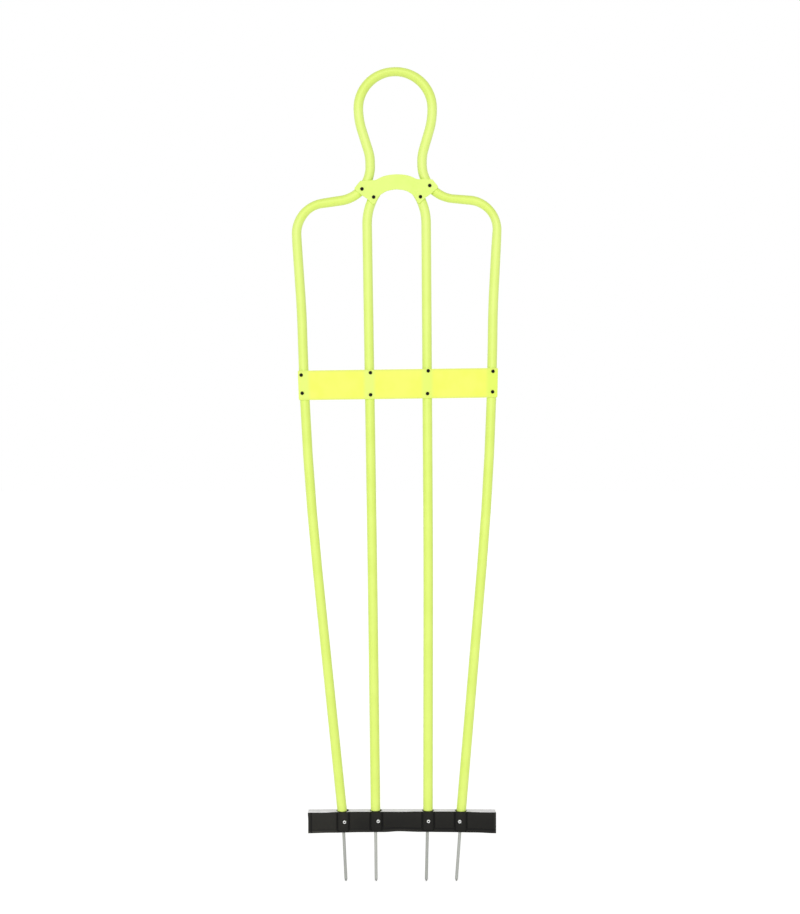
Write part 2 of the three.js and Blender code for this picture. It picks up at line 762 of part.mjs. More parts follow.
function addScrews(name, places, face) {
  const group = new THREE.Group();
  places.forEach((at, i) => {
    add(group, `${name}_${i + 1}`, screw(face), blackScrew).position.set(at.x, 0, at.y);
  });
  mannequin.add(group);
}

addScrews('neck_screw', neckScrewPlaces, plateBack - neckPlateThickness);
addScrews('chest_screw', chestScrewPlaces, plateBack - chestPlateThickness);

const base = new THREE.Group();
add(base, 'base_angle', baseAngle(), galvanised);
add(base, 'base_cover', baseCover(), blackRubber);
feet.forEach((place, i) => {
  const { x, y } = boltPlaces[i];
  add(base, `base_bolt_${i + 1}`, bolt(), brightZinc).position.set(x, 0, y);
  add(base, `base_nut_${i + 1}`, nut(), brightZinc).position.set(x, 0, y);
  add(base, `spike_plug_${i + 1}`, plug(place, spikeStances[i], boltPlaces[i]), blackNylon);
  add(base, `spike_${i + 1}`, spike(spikeStances[i]), spikeZinc);
});
mannequin.add(base);

export default mannequin;
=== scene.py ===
import math

import bpy
import numpy as np
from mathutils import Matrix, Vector


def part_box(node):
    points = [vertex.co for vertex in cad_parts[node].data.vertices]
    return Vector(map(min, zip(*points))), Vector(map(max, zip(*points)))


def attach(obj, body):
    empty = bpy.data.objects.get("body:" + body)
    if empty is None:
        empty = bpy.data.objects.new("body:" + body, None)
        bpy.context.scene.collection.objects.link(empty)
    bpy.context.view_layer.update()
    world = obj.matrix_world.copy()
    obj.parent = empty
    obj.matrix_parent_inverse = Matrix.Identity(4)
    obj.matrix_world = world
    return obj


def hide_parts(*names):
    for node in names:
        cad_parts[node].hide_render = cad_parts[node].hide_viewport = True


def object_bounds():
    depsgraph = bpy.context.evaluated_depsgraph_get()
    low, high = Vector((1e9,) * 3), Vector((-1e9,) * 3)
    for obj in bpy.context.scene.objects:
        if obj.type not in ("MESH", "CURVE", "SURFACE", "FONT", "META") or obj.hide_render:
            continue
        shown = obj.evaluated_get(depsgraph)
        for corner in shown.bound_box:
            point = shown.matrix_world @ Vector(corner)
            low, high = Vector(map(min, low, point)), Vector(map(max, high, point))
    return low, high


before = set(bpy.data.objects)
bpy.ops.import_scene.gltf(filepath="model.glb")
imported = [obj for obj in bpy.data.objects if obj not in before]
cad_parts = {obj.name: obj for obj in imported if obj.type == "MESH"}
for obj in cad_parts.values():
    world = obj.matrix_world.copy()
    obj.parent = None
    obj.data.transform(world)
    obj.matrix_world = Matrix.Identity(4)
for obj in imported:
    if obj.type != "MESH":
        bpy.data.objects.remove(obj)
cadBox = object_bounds()
print("frame:", len(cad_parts), "solids")


# Node trees

class Value:
    # a number in a node tree; + - and * on it add Math nodes
    def __init__(self, wiring, socket):
        self.wiring = wiring
        self.socket = socket

    def maths(self, operation, first, second):
        return self.wiring.add("ShaderNodeMath", {"operation": operation}, {0: first, 1: second})

    def __add__(self, other):
        return self.maths("ADD", self, other)

    def __radd__(self, other):
        return self.maths("ADD", other, self)

    def __sub__(self, other):
        return self.maths("SUBTRACT", self, other)

    def __rsub__(self, other):
        return self.maths("SUBTRACT", other, self)

    def __mul__(self, other):
        return self.maths("MULTIPLY", self, other)

    def __rmul__(self, other):
        return self.maths("MULTIPLY", other, self)


class Wiring:
    # a node tree, with one method that adds any node and a few short names for common ones
    def __init__(self, tree):
        self.tree = tree

    def add(self, kind, settings, inputs, output=0):
        node = self.tree.nodes.new(kind)
        for name, value in settings.items():
            setattr(node, name, value)
        for name, value in inputs.items():
            self.feed(node.inputs[name], value)
        return Value(self, node.outputs[output])

    def feed(self, socket, value):
        if isinstance(value, Value):
            self.tree.links.new(value.socket, socket)
        else:
            socket.default_value = value

    def objectPlace(self):
        return self.add("ShaderNodeTexCoord", {}, {}, "Object")

    def attribute(self, name, output="Vector"):
        return self.add("ShaderNodeAttribute", {"attribute_name": name}, {}, output)

    def stretch(self, vector, factors):
        return self.add("ShaderNodeVectorMath", {"operation": "MULTIPLY"}, {0: vector, 1: factors})

    def noise(self, vector, size, detail, roughness=0.5):
        # size is the rough width of one blotch, in metres
        inputs = {"Vector": vector, "Scale": 1 / size, "Detail": detail, "Roughness": roughness}
        return self.add("ShaderNodeTexNoise", {}, inputs)

    def cells(self, vector, size):
        # a grey of its own for each cell
        inputs = {"Vector": vector, "Scale": 1 / size}
        colour = self.add("ShaderNodeTexVoronoi", {}, inputs, "Color")
        return self.add("ShaderNodeSeparateColor", {}, {0: colour})

    def rise(self, value, low, high):
        # 0 below low, 1 above high, smooth between
        settings = {"interpolation_type": "SMOOTHSTEP"}
        return self.add("ShaderNodeMapRange", settings, {0: value, 1: low, 2: high, 3: 0.0, 4: 1.0})

    def blend(self, share, first, second):
        # second over first, by share
        return self.add("ShaderNodeMix", {"data_type": "RGBA"}, {0: share, 6: first, 7: second}, 2)

    def along(self, vector, axis):
        return self.add("ShaderNodeSeparateXYZ", {}, {0: vector}, axis)


class Finish(Wiring):
    # a material: the Principled shader's constants are set on its own sockets
    def __init__(self, name, constants):
        self.material = bpy.data.materials.new(name)
        self.material.use_nodes = True
        super().__init__(self.material.node_tree)
        self.shader = self.tree.nodes["Principled BSDF"]
        for socket, value in constants.items():
            self.shader.inputs[socket].default_value = value

    def colour(self, value):
        self.feed(self.shader.inputs["Base Color"], value)

    def roughness(self, value):
        self.feed(self.shader.inputs["Roughness"], value)

    def relief(self, height, depth):
        # depth is how far a height of 1 stands proud, in metres
        inputs = {"Height": height, "Distance": depth, "Strength": 1.0}
        self.feed(self.shader.inputs["Normal"], self.add("ShaderNodeBump", {}, inputs))


# Camera, light and floor

studio = dict(
    eye=(-0.0043, -2.7, 0.8524),        # level, in front of the figure's middle
    pictureHeight=2.0885,               # of the tubes' plane
    sensor=36.0,
    floorHalf=30.0,
    floorGap=0.0001,                    # under the spikes' tips
    floorColour=(0.9, 0.9, 0.9, 1),
    floorGlow=0.33,                     # lights the figure a little from below
    floorShine=0.22,                    # added only where the camera or a reflection sees it
    skyLevel=0.49,
    sunFrom=(-0.15, -0.965, 0.215),
    sunLevel=1.30,                      # W/m2
    sunSoftness=math.radians(45),
)


def seenShare(wiring):
    # 1 for rays that show the background: camera, glossy and transmission rays
    rays = [wiring.add("ShaderNodeLightPath", {}, {}, name)
            for name in ("Is Camera Ray", "Is Glossy Ray", "Is Transmission Ray")]
    return wiring.rise(rays[0] + rays[1] + rays[2], 0.0, 1.0)


def makeStudio():
    scene = bpy.context.scene
    scene.view_settings.view_transform = "Standard"
    lens = bpy.data.cameras.new("camera")
    lens.sensor_fit = "VERTICAL"
    lens.sensor_height = studio["sensor"]
    lens.lens = studio["sensor"] * -studio["eye"][1] / studio["pictureHeight"]
    camera = bpy.data.objects.new("camera", lens)
    camera.location = studio["eye"]
    camera.rotation_euler = (math.pi / 2, 0, 0)
    scene.collection.objects.link(camera)
    scene.camera = camera

    world = bpy.data.worlds.new("studio")
    world.use_nodes = True
    scene.world = world
    sky = Wiring(world.node_tree)
    level = studio["skyLevel"] + seenShare(sky) * (1 - studio["skyLevel"])
    background = world.node_tree.nodes["Background"]
    background.inputs["Color"].default_value = (1, 1, 1, 1)
    sky.feed(background.inputs["Strength"], level)

    sun = bpy.data.lights.new("sun", "SUN")
    sun.energy = studio["sunLevel"]
    sun.angle = studio["sunSoftness"]
    lamp = bpy.data.objects.new("sun", sun)
    lamp.rotation_mode = "QUATERNION"
    lamp.rotation_quaternion = Vector(studio["sunFrom"]).to_track_quat("Z", "Y")
    scene.collection.objects.link(lamp)

    half = studio["floorHalf"]
    low = cadBox[0].z - studio["floorGap"]
    mesh = bpy.data.meshes.new("floor")
    corners = [(-half, -half, low), (half, -half, low), (half, half, low), (-half, half, low)]
    mesh.from_pydata(corners, [], [(0, 1, 2, 3)])
    floor = bpy.data.objects.new("floor", mesh)
    scene.collection.objects.link(floor)
    paint = Finish("floor_paint", {"Roughness": 1.0, "Specular IOR Level": 0.0, "Emission Strength": 1.0,
                                   "Base Color": studio["floorColour"]})
    dim = studio["floorGlow"]
    bright = dim + studio["floorShine"]
    glow = paint.blend(seenShare(paint), (dim, dim, dim, 1), (bright, bright, bright, 1))
    paint.feed(paint.shader.inputs["Emission Color"], glow)
    mesh.materials.append(paint.material)


makeStudio()
print("studio ready")


# Meshes

def skin(name, grid, extras=None, ring=False):
    # faces join each point of a grid of points (rows, columns) with its neighbours, and the last
    # column with the first; in a ring the last row meets the first row, else both are filled
    rows, columns = grid.shape[:2]
    index = np.arange(rows * columns).reshape(rows, columns)
    ends = [] if ring else [index[0, ::-1], index[-1]]
    if ring:
        index = np.vstack([index, index[:1]])
    index = np.hstack([index, index[:, :1]])
    corners = [index[:-1, :-1], index[:-1, 1:], index[1:, 1:], index[1:, :-1]]
    faces = np.stack(corners, -1).reshape(-1, 4)
    points = grid.reshape(-1, 3)
    if signedVolume(points, faces, ends) < 0:
        faces = faces[:, ::-1]
        ends = [end[::-1] for end in ends]
    mesh = bpy.data.meshes.new(name)
    mesh.from_pydata(points.tolist(), [], faces.tolist() + [end.tolist() for end in ends])
    for attribute, values in (extras or {}).items():
        kind, field = ("FLOAT_VECTOR", "vector") if values.ndim == 3 else ("FLOAT", "value")
        store = mesh.attributes.new(attribute, kind, "POINT")
        store.data.foreach_set(field, values.astype(np.float32).ravel())
    piece = bpy.data.objects.new(name, mesh)
    bpy.context.scene.collection.objects.link(piece)
    return piece


def signedVolume(points, faces, ends):
    # a sixth of the sum of a . (b x c) over all triangles
    fans = [np.stack([np.full(len(end) - 2, end[0]), end[1:-1], end[2:]], -1) for end in ends]
    triangles = np.vstack([faces[:, [0, 1, 2]], faces[:, [0, 2, 3]], *fans])
    a, b, c = (points[triangles[:, i]] for i in range(3))
    return np.einsum("ij,ij->", a, np.cross(b, c)) / 6


def settle(piece):
    # the piece keeps the mesh that its modifiers make of it
    graph = bpy.context.evaluated_depsgraph_get()
    shape = piece.evaluated_get(graph)
    made = bpy.data.meshes.new_from_object(shape, preserve_all_data_layers=True, depsgraph=graph)
    piece.modifiers.clear()
    piece.data = made


def carve(piece, cutters):
    # takes the cutters away from the piece
    for cutter in cutters:
        change = piece.modifiers.new("carve", "BOOLEAN")
        change.operation = "DIFFERENCE"
        change.solver = "EXACT"
        change.object = cutter
    settle(piece)
    for cutter in cutters:
        bpy.data.objects.remove(cutter)


def finishPiece(piece, finish, node, crease=32):
    # smooth faces with creases where they turn by more than an angle, in degrees
    mesh = piece.data
    mesh.shade_smooth()
    mesh.set_sharp_from_angle(angle=math.radians(crease))
    mesh.materials.clear()
    mesh.materials.append(finish.material)
    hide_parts(node)
    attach(piece, "root")


def turned(radius, turn, height):
    # rings round +Z; radius and height may change along the shape and round it
    return np.stack([radius * np.cos(turn), radius * np.sin(turn), height + 0 * turn], -1)


def turnedRings(profile, sides, start=0):
    # rings round +Z at the (radius, height) rows of a profile, from a start angle
    turn = start + np.linspace(0, 2 * np.pi, sides, endpoint=False)
    radius, height = (np.asarray(profile)[:, [i]] for i in range(2))
    return turned(radius, turn, height)


def acrossFigure(rings, place, y, way):
    # turns rings round +Z so that their +Z points to the front (way -1) or to the back (way 1)
    return np.stack([place.x + rings[..., 0], y + way * rings[..., 2], place.z + rings[..., 1]], -1)


def centre(node):
    low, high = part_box(node)
    return (low + high) / 2


def edgeStep(distance, softness):
    # 0 outside, 1 inside, over a soft edge
    share = np.clip(distance / softness + 0.5, 0, 1)
    return share ** 2 * (3 - 2 * share)


def quarterRound(distance, radius):
    # how far a rounded end draws in at a distance from it
    near = np.clip(radius - distance, 0, radius)
    return radius - np.sqrt(radius ** 2 - near ** 2)


# The figure's bent tubes

figure = dict(
    lean=0.0087,              # shift to the left per height
    rise=0.021,               # rise per distance to the right, at the neck's base
    shoulderHalfSpan=0.2328,  # spans run from the middle to the tube's axis
    shoulderBend=0.068,
    shoulderSlope=0.125,
    footSpanShare=0.5666,     # of the shoulders' half span
    waistSpanShare=0.9107,
    ribSpanShare=0.9373,
    waistHeightShare=0.5927,  # of the neck's base height
    ribHeightShare=0.817,
    waistBowShare=0.179,      # reach of a slow bow to each side of its corner
    ribBowShare=0.0285,
    neckHalfSpan=0.0592,
    neckBase=1.4493,
    neckBend=0.078,
    neckStraight=0.0072,
    jawTurn=0.296,
    jawBend=0.1,
    headHalfSpan=0.0844,
    cheekBend=0.174,
    templeStraight=0.0004,
    crownHalfSpan=0.0841,
    crownFlat=0.001,
    crownSway=0.0034,
    innerFootHalfSpan=0.0596,
    innerWaistHalfSpan=0.064,
    innerWaistHeightShare=0.428,
    innerWaistBowShare=0.08,
    innerSway=0.0018,
    innerHalfSpan=0.0676,
    flankTurn=0.575,
    flankBend=0.13,
    archBend=0.054,
    archFlat=0.0016,
    archRise=0.0322,
)

tubing = dict(
    radius=0.011,
    wall=0.002,
    sides=48,
    ringTurn=math.radians(3),   # between two rings of a bend
    leastSteps=4,               # of a bend
    ringStep=0.012,             # on a straight run
)

# where bending has flattened a tube: (x, z, reach, share of the section, shift outwards in radii)
flatSpots = [(-0.206, 1.43, 0.03, 0.09, -0.03), (-0.236, 1.392, 0.03, 0.02, -0.09),
             (0.204, 1.408, 0.054, 0.13, 0.03), (0.112, 1.445, 0.034, 0.11, -0.066),
             (-0.0195, 1.733, 0.042, 0.1, 0)]


def onFigure(across, height):
    # x = across - lean * height, z = height + rise * across * height / neck's base
    rise = figure["rise"] * across * height / figure["neckBase"]
    return np.stack([across - figure["lean"] * height, height + rise], -1)


def outerCorners(side):
    # one half of the outer tube, as (across, height, bend radius, reach)
    span, neck = figure["shoulderHalfSpan"], figure["neckBase"]
    half = figure["neckHalfSpan"]
    jawReach = math.tan(figure["jawTurn"] / 2)
    neckReach = math.tan((math.pi / 2 - math.atan(figure["shoulderSlope"])) / 2)
    neckTop = neck + figure["neckBend"] * neckReach + figure["neckStraight"]
    neckTop = neckTop + figure["jawBend"] * jawReach
    cheek = neckTop + (figure["headHalfSpan"] - half) / math.tan(figure["jawTurn"])
    crownBend = figure["crownHalfSpan"] - figure["crownFlat"] / 2
    crown = cheek + figure["cheekBend"] * jawReach + figure["templeStraight"] + crownBend
    shoulder = neck - (span - half) * figure["shoulderSlope"]
    return [
        (side * span * figure["footSpanShare"], 0, 0, 0),
        (side * span * figure["waistSpanShare"], neck * figure["waistHeightShare"], 0,
         neck * figure["waistBowShare"]),
        (side * span * figure["ribSpanShare"], neck * figure["ribHeightShare"], 0,
         neck * figure["ribBowShare"]),
        (side * span, shoulder, figure["shoulderBend"], 0),
        (side * half, neck, figure["neckBend"], 0),
        (side * half, neckTop, figure["jawBend"], 0),
        (side * figure["headHalfSpan"], cheek, figure["cheekBend"], 0),
        (side * figure["crownHalfSpan"] - figure["crownSway"], crown, crownBend, 0),
    ]


def innerCorners(side):
    # one half of the inner tube, as (across, height, bend radius, reach)
    neck = figure["neckBase"]
    top = neck + figure["archRise"]
    archReach = figure["archBend"] * math.tan((math.pi / 2 - figure["flankTurn"]) / 2)
    archHalf = archReach + figure["archFlat"] / 2
    flank = top - (figure["innerHalfSpan"] - archHalf) / math.tan(figure["flankTurn"])
    return [
        (side * figure["innerFootHalfSpan"], 0, 0, 0),
        (side * figure["innerWaistHalfSpan"] + figure["innerSway"],
         neck * figure["innerWaistHeightShare"], 0, neck * figure["innerWaistBowShare"]),
        (side * figure["innerHalfSpan"], flank, figure["flankBend"], 0),
        (side * archHalf, top, figure["archBend"], 0),
    ]


def leftOf(way):
    # a quarter turn of directions in the figure's plane
    return np.stack([-way[..., 1], way[..., 0]], -1)


def bendPath(corners):
    # straight runs from corner to corner, and an arc at each corner that touches both runs.
    # Gives the places, the directions and the length so far of its rings
    places = onFigure(*np.array([corner[:2] for corner in corners]).T)
    runs = np.diff(places, axis=0)
    runs /= np.linalg.norm(runs, axis=1, keepdims=True)
    at, way = [places[:1]], [runs[:1]]
    for i, (across, height, radius, reach) in enumerate(corners[1:-1], 1):
        before, after = runs[i - 1], runs[i]
        turn = math.atan2(before[0] * after[1] - before[1] * after[0], before @ after)
        reach = reach or radius * math.tan(abs(turn) / 2)
        radius = reach / math.tan(abs(turn) / 2)
        steps = max(tubing["leastSteps"], math.ceil(abs(turn) / tubing["ringTurn"]))
        swept = np.linspace(0, turn, steps + 1)[:, None]
        start = places[i] - before * reach
        spoke = -leftOf(before) * math.copysign(radius, turn)
        at.append(start - spoke + spoke * np.cos(swept) + leftOf(spoke) * np.sin(swept))
        way.append(before * np.cos(swept) + leftOf(before) * np.sin(swept))
    at, way = np.vstack([*at, places[-1:]]), np.vstack([*way, runs[-1:]])
    length = np.concatenate([[0], np.cumsum(np.linalg.norm(np.diff(at, axis=0), axis=1))])
    parts = np.maximum(1, np.ceil(np.diff(length) / tubing["ringStep"])).astype(int)
    fine = np.concatenate([np.linspace(a, b, n, endpoint=False)
                           for a, b, n in zip(length[:-1], length[1:], parts)] + [length[-1:]])
    at, way = (np.stack([np.interp(fine, length, column) for column in pair.T], -1) for pair in (at, way))
    way /= np.linalg.norm(way, axis=1, keepdims=True)
    return dict(at=at, way=way, length=fine)


outerPath = bendPath([*outerCorners(-1), *outerCorners(1)[::-1]])
innerPath = bendPath([*innerCorners(-1), *innerCorners(1)[::-1]])


def legX(path, side, height):
    # where a tube's left or right leg passes a height
    at = path["at"]
    top = np.argmax(at[:, 1])
    leg = at[:top] if side < 0 else at[:top:-1]
    rising = leg[: np.argmax(np.diff(leg[:, 1], append=-1) <= 0)]
    return np.interp(height, rising[:, 1], rising[:, 0])


def tubeRings(path, radius):
    # rings of a section that is radius * (1 - squeeze) in the figure's plane. Squeeze and shift
    # fade by exp(-(distance / reach)^2) from each flat spot
    squeeze, shift = 0, 0
    for x, z, reach, share, outward in flatSpots:
        near = np.exp(-np.sum((path["at"] - (x, z)) ** 2, axis=1, keepdims=True) / reach ** 2)
        squeeze, shift = squeeze + near * share, shift + near * outward
    turn = np.linspace(0, 2 * np.pi, tubing["sides"], endpoint=False)
    flat = radius * (1 - squeeze) * np.cos(turn) + tubing["radius"] * shift
    deep = radius * np.sin(turn) + 0 * flat
    at, side = path["at"][:, None, :], leftOf(path["way"])[:, None, :]
    place = at + side * flat[..., None]
    rings = np.stack([place[..., 0], deep, place[..., 1]], -1)
    lay = np.stack([radius * np.cos(turn) + 0 * flat, deep, path["length"][:, None] + 0 * flat], -1)
    upright = np.abs(path["way"][:, 1])[:, None] + 0 * flat
    return rings, lay, upright


# Finishes

angle = dict(
    thickness=0.003,
    height=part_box("base_angle")[1].z,
    outerRound=0.004,
    notchClearance=0.0021,
    notchOffsets=(0.12, 0.1, 0.0, -0.1),    # shares of the tube's radius
    # painted shadow of each tube on the flange round its notch, and painted shade under the flange
    notchShadeReach=0.0022,        # of the painted shadow round a notch
    notchShadeSquash=0.78,         # it reaches farther to the back than to the side
    notchShadeStart=(-0.006, -0.001),            # depths between which it sets in
    notchShadeShares=(1, 0.45, 0.4, 0.35),       # for each notch
    shadeEdge=(0.0002, 0.0006),             # soft edge of the painted shade under the flange
    notchSides=72,
    roundSteps=10,            # of the outside corner
    bevel=0.0003,
    bevelTurn=math.radians(40),             # edges that turn by more are bevelled
    bow=0.0009,               # the flange's ends hang below its middle
    parts=24,
)
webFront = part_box("base_angle")[1].y - angle["thickness"]
flangeUnder = angle["height"] - angle["thickness"]
feet = [(outerPath, -1), (innerPath, -1), (innerPath, 1), (outerPath, 1)]

neon = dict(
    tube=(0.780, 0.952, 0.186, 1),
    tubeShade=(0.745, 0.925, 0.162, 1),
    tubeSheen=(0.785, 0.955, 0.240, 1),     # painted sheen: paler on the upright runs of the upper body, where the lamp's highlight falls
    sheenFrom=0.9,                           # heights between which the painted sheen sets in
    sheenTo=1.4,
    # painted shade: a deeper tone on the crown, which catches less of the lamp's sheen than the upright
    # runs
    crown=(0.735, 0.905, 0.166, 1),
    crownShadeFrom=1.63,                         # heights between which the crown's painted shade sets in
    crownShadeTo=1.7,
    # painted shadow on each tube just over the cover, where it goes down behind it
    footShade=(0.012, 0.014, 0.006, 1),
    footShadeTop=0.0472,                         # height of the painted shadow's edge on the inner tube
    footShadeFade=0.0008,
    footShadeFall=0.0013,                        # how much lower it is on the outer tube
    footShadeWander=0.0006,
    footShadeInner=0.08,                         # distances from the middle between which it falls
    footShadeOuter=0.12,
    footShadeShare=0.95,
    neck=(0.770, 0.958, 0.195, 1),
    neckShade=(0.740, 0.935, 0.170, 1),
    chest=(0.920, 0.962, 0.126, 1),
    chestShade=(0.900, 0.950, 0.100, 1),
    chestBacked=(0.815, 0.960, 0.170, 1),   # where a tube lies behind the see-through sheet
    chestDeep=(0.780, 0.950, 0.105, 1),     # the same, towards the right end
    deepFrom=-0.05,                         # places between which it deepens
    deepTo=0.2,
    cutEdge=(0.77, 0.895, 0.20, 1),
    cutShare=0.6,
)

# the other finishes' tones, the darker first where there are two, and their shares and places
tones = dict(
    screw=(0.005, 0.005, 0.0045, 1),
    screwWorn=(0.020, 0.0195, 0.017, 1),
    rubber=(0.0060, 0.0057, 0.0046, 1),
    # paler tone for dust, and for painted light at the left end, along the top and on the lip
    rubberDustAndLight=(0.0440, 0.0423, 0.0344, 1),
    # painted shade in the grooves and lines and on the pads' margins
    rubberShade=(0.0012, 0.0011, 0.0010, 1),
    litLeft=(-0.175, -0.085),             # along X, between which the painted light on the left end fades
    litTop=(0.012, 0.044),                # heights between which the painted light along the top sets in
    dustAndLightShares=(0.5, 0.2, 0.25),           # painted light at the left end and along the top, and dust in patches
    zinc=[(0.615, 0.612, 0.61, 1), (0.79, 0.782, 0.778, 1)],
    # painted shade under the angle's flange and round its notches
    zincShade=(0.030, 0.030, 0.020, 1),
    shadeShare=0.95,
    bright=[(0.78, 0.78, 0.77, 1), (0.94, 0.94, 0.93, 1)],
    # painted shade in the bolts' sockets
    socketShade=(0.02, 0.019, 0.017, 1),
    socketShare=0.92,
    rod=[(0.34, 0.35, 0.325, 1), (0.54, 0.55, 0.52, 1)],
    rodTarnish=(0.10, 0.10, 0.095, 1),
    rodPointTone=(0.16, 0.155, 0.145, 1),      # darker towards the point
    pointShare=0.75,
    pointFade=(0.003, 0.010),               # distances from the tip between which it fades
    nylon=[(0.010, 0.010, 0.0095, 1), (0.020, 0.0195, 0.018, 1)],
)


def tubePlastic():
    # extruded plastic: fine lines along the tube, slow clouds of colour, a faint orange peel,
    # a painted sheen on upright upper runs, painted shade on the crown, a painted shadow over the cover
    finish = Finish("neon_tube_plastic", {"Specular IOR Level": 0.5})
    lay = finish.attribute("lay")
    height = finish.along(finish.objectPlace(), "Z")
    lines = finish.noise(finish.stretch(lay, (1, 1, 0.005)), 0.0012, 3)
    cloud = finish.noise(lay, 0.05, 3)
    peel = finish.noise(lay, 0.0016, 2)
    fresh = finish.blend(finish.rise(cloud, 0.35, 0.68), neon["tube"], neon["tubeShade"])
    # painted sheen: a paler tone where the upper body's upright runs catch the lamp's highlight
    paintedSheen = finish.rise(height, neon["sheenFrom"], neon["sheenTo"]) * (1 - cloud * 0.4)
    paintedSheen = paintedSheen * finish.rise(finish.attribute("upright", "Fac"), 0.8, 1.0)
    body = finish.blend(paintedSheen, fresh, neon["tubeSheen"])
    # painted shade on the crown
    body = finish.blend(finish.rise(height, neon["crownShadeFrom"], neon["crownShadeTo"]), body, neon["crown"])
    # painted shadow just over the cover, where the tubes go down behind it
    across = finish.along(finish.objectPlace(), "X")
    outward = finish.rise(across * across, neon["footShadeInner"] ** 2, neon["footShadeOuter"] ** 2)
    overCover = height + outward * neon["footShadeFall"] + cloud * neon["footShadeWander"]
    footShade = 1 - finish.rise(overCover, neon["footShadeTop"] - neon["footShadeFade"], neon["footShadeTop"])
    finish.colour(finish.blend(footShade * neon["footShadeShare"], body, neon["footShade"]))
    finish.roughness(0.34 + cloud * 0.08 + lines * 0.06)
    finish.relief(lines * 0.7 + peel * 0.3, 0.00006)
    return finish


def sheetPlastic(name, plain, shade, backed=None, deep=None):
    # cut plastic sheet: a fine grain, slow clouds, and rougher, duller sawn edges
    finish = Finish(name, {"Specular IOR Level": 0.45})
    place = finish.objectPlace()
    cloud = finish.noise(place, 0.03, 3)
    grain = finish.noise(place, 0.0009, 3)
    wave = finish.noise(place, 0.06, 1)
    saw = finish.noise(finish.stretch(place, (1, 0.15, 1)), 0.0006, 2)
    edge = finish.attribute("edge", "Fac")
    colour = finish.blend(finish.rise(cloud, 0.35, 0.7), plain, shade)
    if backed:
        rightness = finish.rise(finish.along(place, "X"), neon["deepFrom"], neon["deepTo"])
        behind = finish.blend(rightness, backed, deep)
        colour = finish.blend(finish.attribute("backed", "Fac"), colour, behind)
    finish.colour(finish.blend(edge * neon["cutShare"], colour, neon["cutEdge"]))
    finish.roughness(0.42 + grain * 0.08 + edge * 0.2)
    finish.relief(grain * 0.2 + wave * 4.0 + edge * saw, 0.00008)
    return finish


def blackSteel():
    # black oxide screws: near black, worn a little on the high spots
    finish = Finish("black_steel", {"Metallic": 0.4, "Specular IOR Level": 0.2})
    place = finish.objectPlace()
    cloud = finish.noise(place, 0.0015, 3)
    worn = finish.rise(cloud, 0.5, 0.8)
    finish.colour(finish.blend(worn, tones["screw"], tones["screwWorn"]))
    finish.roughness(0.42 + cloud * 0.15)
    finish.relief(finish.noise(place, 0.0003, 2), 0.00002)
    return finish


def coverRubber():
    # moulded rubber: a fine matt grain, faint flow lines along the strip, dusty patches, painted
    # light that is stronger to the left and along the top, a painted highlight on the lip, and painted
    # shade in the grooves
    finish = Finish("black_rubber", {"Specular IOR Level": 0.2})
    place = finish.objectPlace()
    grain = finish.noise(place, 0.0005, 3, 0.6)
    flow = finish.noise(finish.stretch(place, (0.04, 1, 1)), 0.0022, 3)
    dust = finish.noise(place, 0.045, 4, 0.6)
    atLeft, atTop, inPatches = tones["dustAndLightShares"]
    # painted light: paler to the left and along the top; dust in patches
    leftness = 1 - finish.rise(finish.along(place, "X"), *tones["litLeft"])
    topness = finish.rise(finish.along(place, "Z"), *tones["litTop"])
    dustAndLight = leftness * atLeft + topness * atTop + finish.rise(dust, 0.35, 0.75) * inPatches
    # painted highlight on the lip and the right end
    dustAndLight = dustAndLight + finish.attribute("litLip", "Fac")
    plain = finish.blend(dustAndLight * 0.5, tones["rubber"], tones["rubberDustAndLight"])
    # painted shade in the grooves and lines, and on the pads' margins
    finish.colour(finish.blend(finish.attribute("grooveShade", "Fac"), plain, tones["rubberShade"]))
    finish.roughness(0.58 + dust * 0.15 + grain * 0.08)
    finish.relief(grain * 0.5 + flow, 0.00009)
    return finish


def galvanised():
    # hot-dip zinc: crystals of slightly different grey, soft clouds, a dull sheen, and painted
    # shade in front of the web: under the flange, and a tube's painted shadow in an oval round each notch
    finish = Finish("galvanised_steel", {"Metallic": 0.8})
    place = finish.objectPlace()
    across, back, height = (finish.along(place, axis) for axis in "XYZ")
    crystal = finish.cells(place, 0.007)
    cloud = finish.noise(place, 0.02, 3)
    scratch = finish.noise(finish.stretch(place, (0.03, 1, 1)), 0.0009, 2)
    clean = finish.blend(crystal * 0.5 + cloud * 0.5, *tones["zinc"])
    soft, far = angle["shadeEdge"]
    beforeWeb = 1 - finish.rise(back, webFront + soft, webFront + far)
    underFlange = 1 - finish.rise(height, flangeUnder + soft, flangeUnder + far)
    inner = tubing["radius"] + angle["notchClearance"]
    outer = inner + angle["notchShadeReach"]
    squashed = back * angle["notchShadeSquash"]
    nearNotch = 0
    for (path, side), offset, share in zip(feet, angle["notchOffsets"], angle["notchShadeShares"]):
        aside = across - (legX(path, side, angle["height"]) + offset * tubing["radius"])
        fromNotch = finish.rise(aside * aside + squashed * squashed, inner ** 2, outer ** 2)
        nearNotch = nearNotch + (1 - fromNotch) * share
    backward = finish.rise(back, *angle["notchShadeStart"])
    # painted shade under the flange and painted shadow of the tubes round the notches
    paintedShade = (nearNotch * backward * (1 - underFlange) + underFlange) * beforeWeb
    finish.colour(finish.blend(paintedShade * tones["shadeShare"], clean, tones["zincShade"]))
    finish.roughness(0.42 + crystal * 0.12 + scratch * 0.1)
    finish.relief(crystal * 0.2 + scratch * 0.6, 0.00004)
    return finish


